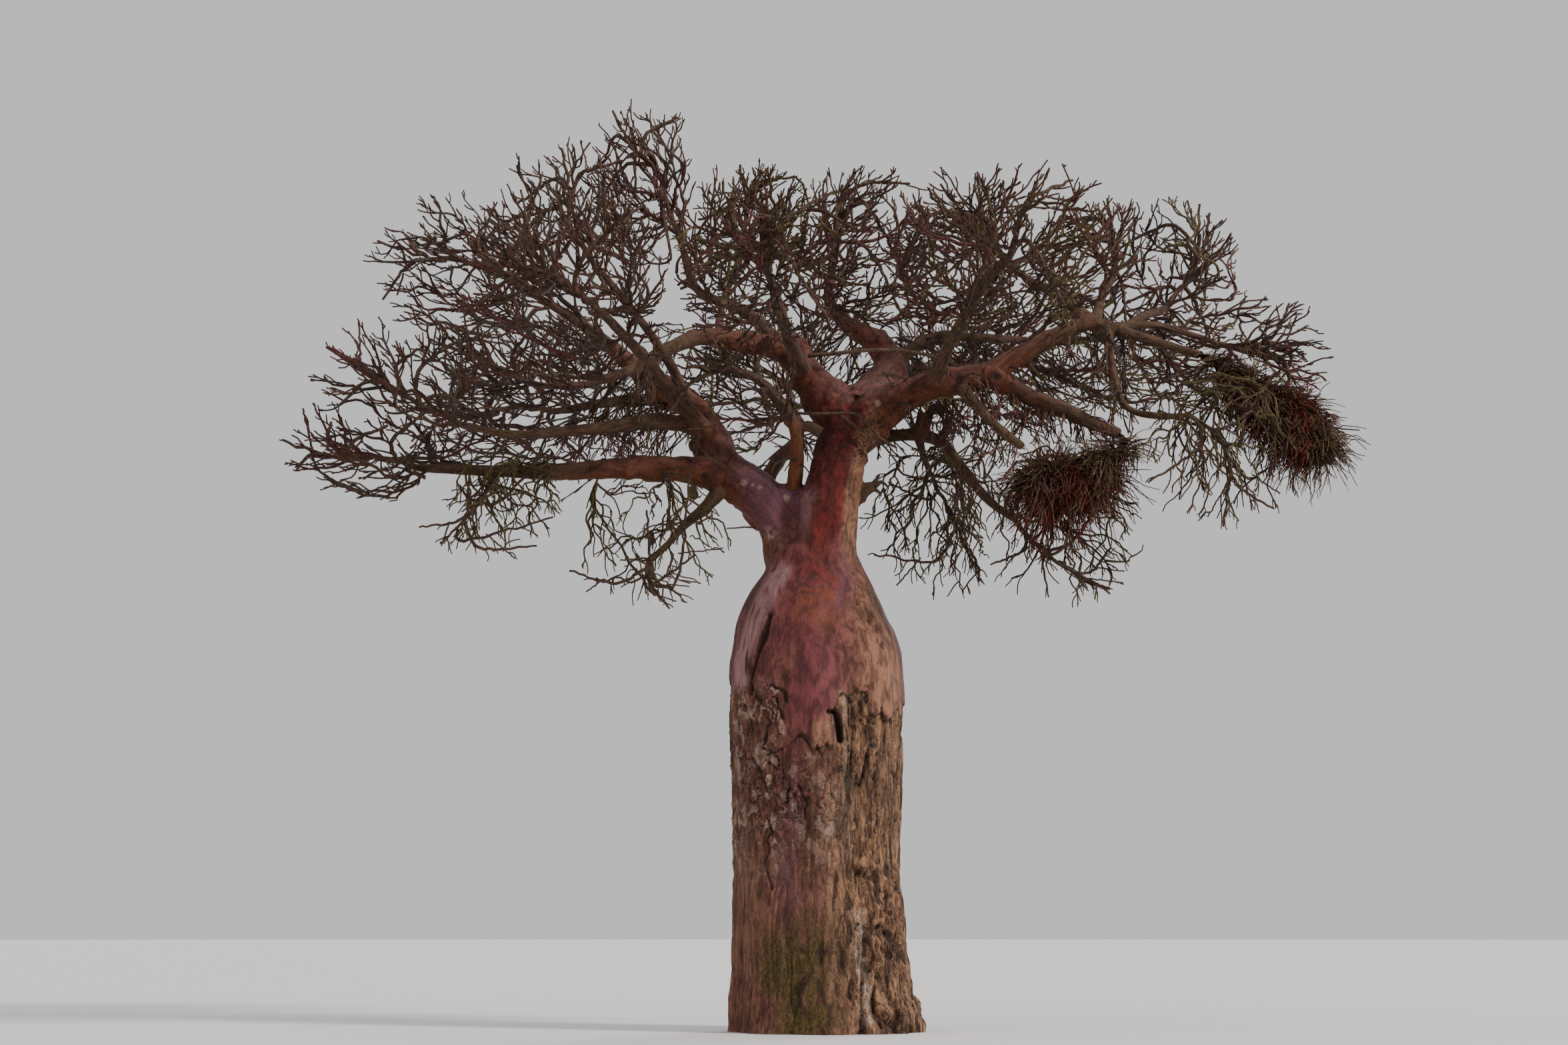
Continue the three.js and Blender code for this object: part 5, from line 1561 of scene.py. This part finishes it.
def bark_finish():
    """The bark of the whole wood, its tones laid on by what the skin carries at each place"""
    finish = Finish("bark", **{"Specular IOR Level": 0.25})
    finish.place = finish.node("Attribute", {"attribute_name": "grain_place"}).outputs["Vector"]
    broad = finish.noise(0.55, (1, 1, 1.8), 4)
    blotch = finish.noise(0.16, (1, 1, 2), 4, 0.8)
    bands = finish.noise(0.1, (1, 1, 9), 3, 0.3)
    streaks = finish.noise(0.05, (1, 1, 5), 4, 0.8)
    grain = finish.noise(0.03, (1, 1, 1.6), 4)
    specks = finish.noise(0.034, (1, 1, 1), 2)
    furrow, flaky, speckled, dark = (
        finish.carried(name) for name in ("furrow", "flaky", "speckled", "dark"))
    plate_rim, plate_tone = finish.cells((0.085, 0.085, 0.42), 0.22)
    flake_rim, flake_tone = finish.cells((0.14, 0.14, 0.18), 0.14)

    # The smooth skin
    colour = finish.mixed(blotch.between(0.33, 0.68), MAUVE_DEEP, MAUVE)
    rose = finish.mixed(blotch.between(0.36, 0.66), ROSE_DEEP, ROSE)
    colour = finish.laid(colour, "rose", 0.6 + 0.7 * broad, rose)
    limb = finish.mixed(blotch.between(0.35, 0.65), BROWN_DEEP, BROWN)
    colour = finish.laid(colour, "brown", 0.6 + 0.6 * broad, limb)
    maroon = finish.mixed(blotch.between(0.35, 0.65), MAROON_DEEP, MAROON)
    colour = finish.laid(colour, "maroon", 0.55 + 0.7 * broad, maroon)
    # Tan bark, and painted light in tan on the limbs' lit sides and tops
    tan = finish.mixed((0.3 * streaks + 0.7 * blotch).between(0.38, 0.6), TAN_DEEP, TAN)
    colour = finish.laid(colour, "tan", 0.3 + 0.9 * blotch, tan)

    # Furrowed bark, and loose flakes, with painted shade in their grooves and cracks
    # Ridges and grooves follow the streaks that the bump follows, so the grooves' dark is partly painted
    # shade
    ridge = finish.mixed((0.5 * streaks + 0.3 * bands + 0.2 * plate_tone).between(0.39, 0.6), SHADED_GROOVE, RIDGE)
    colour = finish.mixed((furrow * 0.9).kept(), colour, ridge)
    olive = finish.mixed(streaks.between(0.35, 0.65), OLIVE_DEEP, OLIVE)
    colour = finish.laid(colour, "olive", 0.3 + 0.9 * blotch, olive)
    # Painted shade in the cracks between the furrowed bark's plates, where the bump sinks
    plate_rim_shade = (1 - plate_rim.between(0.0, 0.1)) * furrow * blotch.between(0.38, 0.55)
    flake = finish.mixed(flake_tone.between(0.55, 0.95) * 0.6, MAUVE_DEEP, CREAM)
    colour = finish.mixed((flaky * flake_tone.between(0.45, 0.8) * 0.7).kept(), colour, flake)
    # Painted shade in the cracks between the loose flakes, where the bump sinks
    crack = (1 - flake_rim.between(0.01, 0.07)) * flaky * blotch.between(0.42, 0.6)

    # What grows or shows on it in places, with painted highlights and painted shade
    colour = finish.laid(colour, "ochre", 0.2 + streaks, OCHRE)
    colour = finish.laid(colour, "plum", 0.4 + 0.8 * broad, PLUM)
    # Lilac, which on the limbs' upper sides is a painted highlight
    colour = finish.laid(colour, "lilac", 0.35 + 0.9 * blotch, LILAC)
    moss = finish.mixed(grain.between(0.3, 0.7), MOSS_DEEP, MOSS)
    colour = finish.laid(colour, "moss", 0.25 + 1.1 * blotch, moss)
    # Cream, with a painted highlight on the trunk's lit ridge
    colour = finish.laid(colour, "cream", 0.3 + 0.8 * grain, CREAM)
    colour = finish.mixed((specks.between(0.52, 0.6) * (0.12 + 0.75 * speckled)).kept(), colour, STIPPLE)
    # Painted shade: the skin's dark and the cracks' shade, laid on in DARK
    deep = (dark * 0.92 + 0.55 * plate_rim_shade + 0.8 * crack).kept()
    colour = finish.mixed(deep, colour, DARK)
    shade = (1 + (streaks - 0.5) * (0.45 + 0.7 * furrow)) * (0.6 + 0.8 * grain) * (0.72 + 0.56 * bands)
    tinted = finish.node("CombineColor", {}, {0: shade, 1: shade, 2: shade}).outputs[0]
    colour = finish.mixed(1.0, colour, tinted, "MULTIPLY")

    rough = 0.88 - 0.2 * finish.carried("rose") + 0.1 * grain
    height = 0.3 * streaks + 0.3 * grain + 0.15 * specks + 0.25 * blotch + 0.4 * bands
    height = height + furrow * (0.4 * plate_rim.between(0, 0.3) + 0.7 * streaks)
    height = height + flaky * (0.6 * flake_rim.between(0, 0.12) + 0.5 * flake_tone)
    finish.set(finish.shader, {
        "Base Color": colour, "Roughness": rough.kept(), "Normal": finish.bumped(height, 0.04, 0.75)})
    return finish.material


def twig_finish(name, pale, deep):
    """Dry wood mottled in two tones"""
    finish = Finish(name, **{"Roughness": 0.85, "Specular IOR Level": 0.2})
    mottle = finish.noise(0.05, (1, 1, 1), 3).between(0.35, 0.65)
    finish.set(finish.shader, {"Base Color": finish.mixed(mottle, deep, pale)})
    return finish.material


TWIG_TONES = (
    ("twig_brown", tone("4f372b"), tone("35241c")),
    ("twig_olive", tone("55482c"), tone("372f1c")),
    ("twig_red", tone("56322c"), tone("38211e")),
    ("twig_grey", tone("50433a"), tone("342b25")),
    ("twig_dark", tone("3f2f27"), tone("281d18")),
)
# The tones that sprays take, by their numbers: on hanging masses, on the left, and on the rest
HANGING_MIX = (1, 1, 0, 1, 4)
LEFT_MIX = (0, 4, 3, 0, 2, 0)
OTHER_MIX = (0, 1, 2, 4, 0)
RIB_TONE = ("rib_brown", tone("533f33"), tone("35271f"))


def even_numbers(count, many, seed):
    """As many whole numbers as count says, each from 0 to below many and none more likely"""
    return np.random.default_rng(seed).integers(0, many, count)


# Left of this place a mass takes the left's mix of tones
LEFT_OF = -2.5
MOST_SPRAYS = 4000


def crown():
    """All masses of twigs, joined by kind into pieces, each spray of them in one tone"""
    grown = [mass_of_twigs(number) for number in range(len(MASSES))]
    loose = bough_twigs()
    finishes = [twig_finish(*row) for row in (*TWIG_TONES, RIB_TONE)]
    for kind, sides in (("stems", 6), ("shoots", 4), ("twigs", 3), ("spurs", 3)):
        batches, nodes, triangles, part = [], [], 0, 1
        if kind == "stems":
            lines = np.array([smooth_line(np.array(bends), 16) for _, _, bends in LOOSE_BRANCHES])
            ends = np.array([row[:2] for row in LOOSE_BRANCHES])
            batches.append((*sleeves(lines, ends, sides), np.full(len(lines), SPRAY_TONES)))
        if kind in loose:
            lines, ends, sprays = loose[kind]
            batches.append((*sleeves(lines, ends, sides), even_numbers(MOST_SPRAYS, SPRAY_TONES, 80)[sprays]))
            triangles += 2 * batches[0][1].shape[0] * batches[0][1].shape[1]
        for number, mass in enumerate(grown):
            lines, ends, sprays = mass[kind]
            places, walls, caps = sleeves(lines, ends, sides)
            lean, middle = MASSES[number][2:4]
            mix = HANGING_MIX if lean < 0 else LEFT_MIX if middle[0] < LEFT_OF else OTHER_MIX
            tones = np.array(mix)[even_numbers(MOST_SPRAYS, len(mix), 90 + number)[sprays]]
            if kind == "stems":
                tones = np.full(len(lines), SPRAY_TONES)
            made = 2 * walls.shape[0] * walls.shape[1] + caps.shape[0] * 2 * (sides - 2)
            if triangles + made > MOST_TRIANGLES:
                crown_piece(f"{kind}_{part}", batches, finishes, nodes)
                batches, nodes, triangles, part = [], [], 0, part + 1
            batches.append((places, walls, caps, tones))
            nodes.append(MASSES[number][0])
            triangles += made
        crown_piece(f"{kind}_{part}", batches, finishes, nodes)


def crown_piece(name, batches, finishes, nodes):
    """One kind of twigs as a piece, in place of its masses' nodes"""
    piece = joined_mesh("twig_" + name, batches, finishes)
    finished(piece, nodes)


# Nests

def nest_body(name, foot, line, radii, seed):
    """The nest's thatch as one ragged body, and its line and widths for the sticks"""
    points = smooth_line((foot, *line), 24)
    wide = np.interp(np.linspace(0, len(line), 25), np.arange(len(line) + 1), (radii[0] * 0.6, *radii))
    chance = np.random.default_rng(seed)
    body = bmesh.new()
    for place, radius in zip(points, wide):
        for size in (0.62, 0.36, 0.36):
            ball_radius = radius * size * chance.uniform(0.8, 1.2)
            ball = bmesh.ops.create_icosphere(body, subdivisions=3, radius=ball_radius)
            aside = unit(chance.normal(0, 1, 3)) * radius * (0.72 - size)
            bmesh.ops.translate(body, verts=ball["verts"], vec=Vector(place + aside))
    rough = bpy.data.meshes.new(name)
    body.to_mesh(rough)
    body.free()
    lump = bpy.data.objects.new(name, rough)
    bpy.context.scene.collection.objects.link(lump)
    remesh = lump.modifiers.new("one_skin", "REMESH")
    remesh.mode = "VOXEL"
    remesh.voxel_size = 0.025
    mesh = bpy.data.meshes.new_from_object(lump.evaluated_get(bpy.context.evaluated_depsgraph_get()))
    bpy.data.objects.remove(lump)
    count = len(mesh.vertices)
    places = np.empty(count * 3, np.float32)
    mesh.vertices.foreach_get("co", places)
    outward = np.empty(count * 3, np.float32)
    mesh.vertex_normals.foreach_get("vector", outward)
    places, outward = places.reshape(-1, 3).astype(float), outward.reshape(-1, 3)
    move = 0.06 * cloud(places, 0.3, seed, 2) - 0.07 * np.abs(cloud(places, (0.09, 0.09, 0.06), seed + 1))
    mesh.vertices.foreach_set("co", (places + outward * move[:, None]).astype(np.float32).ravel())
    mesh.update()
    piece = bpy.data.objects.new(name, mesh)
    bpy.context.scene.collection.objects.link(piece)
    return piece, points, wide


def nest_sticks(points, wide, longest, chance):
    """Sticks and grass in tufts that lie round the body, stand out of it and hang from it"""
    headings = unit(np.gradient(points, axis=0))
    weights = wide[2:-1] / wide[2:-1].sum()
    batches = []
    for tufts, sticks, long, ends, droop, out, tones in NEST_TUFTS:
        spot = 2 + chance.choice(len(weights), tufts, p=weights)
        along = headings[spot]
        outward = unit(chance.normal(0, 1, (tufts, 3)) + (0, -0.25, 0))
        outward = unit(outward - (outward * along).sum(1, keepdims=True) * along * 0.7)
        round_it = unit(np.cross(outward, chance.normal(0, 1, (tufts, 3))))
        way = round_it + outward * chance.uniform(*out, tufts)[:, None]
        way = unit(way + along * chance.uniform(-0.3, 0.9, tufts)[:, None])
        start = points[spot] + outward * (wide[spot] * chance.uniform(0.45, 0.8, tufts))[:, None]
        reach = chance.uniform(*long, tufts)
        tuft = np.repeat(np.arange(tufts), sticks)
        start = start[tuft] + chance.normal(0, 0.055, (len(tuft), 3))
        way = unit(way[tuft] + chance.normal(0, 0.3, (len(tuft), 3)))
        reach = (reach[tuft] * chance.uniform(0.5, 1.15, len(tuft)))[:, None, None]
        t = np.linspace(0, 1, 5)[None, :, None]
        lines = start[:, None] + way[:, None] * t * reach
        lines = lines - UP * (t ** 2) * reach * droop * chance.uniform(0.2, 1, (len(tuft), 1, 1))
        lines = kinked(lines, 0.3, chance)
        places, walls, caps = sleeves(lines, np.tile(ends, (len(tuft), 1)), 3)
        heart = (np.abs(spot / (len(points) - 1) - 0.62) < 0.24) & (outward[:, 2] < 0.4)
        tone_of = np.where(heart & (chance.uniform(0, 1, tufts) < 0.7), 0, chance.choice(tones, tufts))[tuft]
        batches.append((places, walls, caps, tone_of))
    start = points[int(0.7 * (len(points) - 1))]
    lines = np.linspace(start, longest, 5)[None]
    places, walls, caps = sleeves(kinked(lines, 0.15, chance), np.array([[0.022, 0.009]]), 5)
    batches.append((places, walls, caps, np.array([1])))
    return batches


def nests():
    """Each nest's thatch and its sticks, in place of its node"""
    thatch = Finish("nest_thatch", **{"Roughness": 0.95, "Specular IOR Level": 0.15})
    strands = thatch.noise(0.03, (1, 1, 0.5), 4, 2)
    thatch.set(thatch.shader, {
        "Base Color": thatch.mixed(strands.between(0.4, 0.65), tone("140a08"), tone("3a1c15")),
        "Normal": thatch.bumped(strands, 0.04, 0.8)})
    finishes = [
        twig_finish("stick_red", tone("632a22"), tone("3e1712")),
        twig_finish("stick_brown", tone("50342a"), tone("2c1c16")),
        twig_finish("grass_olive", tone("665539"), tone("413527")),
    ]
    for index, (name, limb, longest, line, radii) in enumerate(NESTS):
        foot = LIMB_LINES[limb][0][-1]
        chance = np.random.default_rng(330 + index)
        body, points, wide = nest_body(name + "_thatch", foot, line, radii, 60 + index)
        body.data.materials.append(thatch.material)
        finished(body, [name])
        batches = nest_sticks(points, wide, longest, chance)
        finished(joined_mesh(name + "_sticks", batches, finishes), [name])


# The studio

FLOOR_RADIUS = 400
FLOOR_DROP = 0.002
FLOOR_TONE = (0.62, 0.6, 0.58, 1)
# Lights: strength, then the width, the height and the turn from the front in degrees
LIGHTS = (
    ("key_light", 3.6, 10, 30, 58), ("fill_light", 0.6, 60, 35, -50), ("rim_light", 1.2, 20, 25, 150),
)
SKY_TONE = (0.86, 0.86, 0.88, 1)
SKY_STRENGTH = 0.8


def standing(name, data):
    """A new object of the scene with this mesh, camera or lamp"""
    made = bpy.data.objects.new(name, data)
    bpy.context.scene.collection.objects.link(made)
    return made


def studio():
    """The camera at the photograph's place, a pale floor, three soft lights and an even sky"""
    camera = bpy.data.cameras.new("camera")
    camera.sensor_width = SENSOR_WIDE
    camera.sensor_fit = "HORIZONTAL"
    camera.lens = FOCAL_PIXELS / PHOTO_WIDE * SENSOR_WIDE
    camera.clip_end = 500
    stand = standing("camera", camera)
    stand.location = EYE_PLACE
    stand.rotation_euler = (math.radians(90 + TILT_UP), 0, 0)
    bpy.context.scene.camera = stand

    ground = bmesh.new()
    bmesh.ops.create_circle(ground, cap_ends=True, segments=96, radius=FLOOR_RADIUS)
    bmesh.ops.translate(ground, verts=ground.verts, vec=(0, 0, -FLOOR_DROP))
    mesh = bpy.data.meshes.new("floor")
    ground.to_mesh(mesh)
    ground.free()
    pale = Finish("floor_pale", **{"Base Color": FLOOR_TONE, "Roughness": 0.95})
    mesh.materials.append(pale.material)
    standing("floor", mesh)

    for name, strength, wide, height, turn in LIGHTS:
        lamp = bpy.data.lights.new(name, "SUN")
        lamp.energy = strength
        lamp.angle = math.radians(wide)
        turn, height = math.radians(turn), math.radians(height)
        flat = math.cos(height)
        away = Vector((math.sin(turn) * flat, -math.cos(turn) * flat, math.sin(height)))
        holder = standing(name, lamp)
        holder.rotation_mode = "QUATERNION"
        holder.rotation_quaternion = away.to_track_quat("Z", "Y")

    world = bpy.data.worlds.new("studio")
    world.use_nodes = True
    sky = world.node_tree.nodes["Background"].inputs
    sky["Color"].default_value = SKY_TONE
    sky["Strength"].default_value = SKY_STRENGTH
    bpy.context.scene.world = world


# The skin is cut into its pieces at these heights of the trunk and these sides of the boughs
LOW_CUT = 2.5
HIGH_CUT = 5.2
STEM_CUT = 7.9
LEFT_CUT = -0.9
RIGHT_CUT = 1.3
RIGHT, LEFT, HIGHER, LOWER = (1, 0, 0), (-1, 0, 0), (0, 0, 1), (0, 0, -1)


def wood_pieces():
    """The trunk's three pieces and the boughs' three, cut from one skin"""
    bark = bark_finish()
    skin = bark_skin()
    middles = {name: np.mean(bends, 0)[0] for name, *_, bends in LIMBS}
    left = [name for name in middles if middles[name] < LEFT_CUT and name != "stem_left"]
    right = [name for name in middles if middles[name] > RIGHT_CUT]
    middle = [name for name in list(middles)[2:] if name not in left + right]
    above = ((0, 0, STEM_CUT), LOWER)
    for name, cuts, nodes in (
        ("trunk_low", (((0, 0, 0), LOWER), ((0, 0, LOW_CUT), HIGHER)), ["trunk"]),
        ("trunk_high", (((0, 0, LOW_CUT), LOWER), ((0, 0, HIGH_CUT), HIGHER)), ["trunk"]),
        ("trunk_neck", (((0, 0, HIGH_CUT), LOWER), ((0, 0, STEM_CUT), HIGHER)),
            ["trunk", "stem_left", "stem_right"]),
        ("boughs_left", (above, ((LEFT_CUT, 0, 0), RIGHT)), left),
        ("boughs_middle", (above, ((LEFT_CUT, 0, 0), LEFT), ((RIGHT_CUT, 0, 0), RIGHT)), middle),
        ("boughs_right", (above, ((RIGHT_CUT, 0, 0), LEFT)), right),
    ):
        bark_piece(name, skin, cuts, bark, nodes)
    bpy.data.meshes.remove(skin)


studio()
wood_pieces()
crown()
nests()
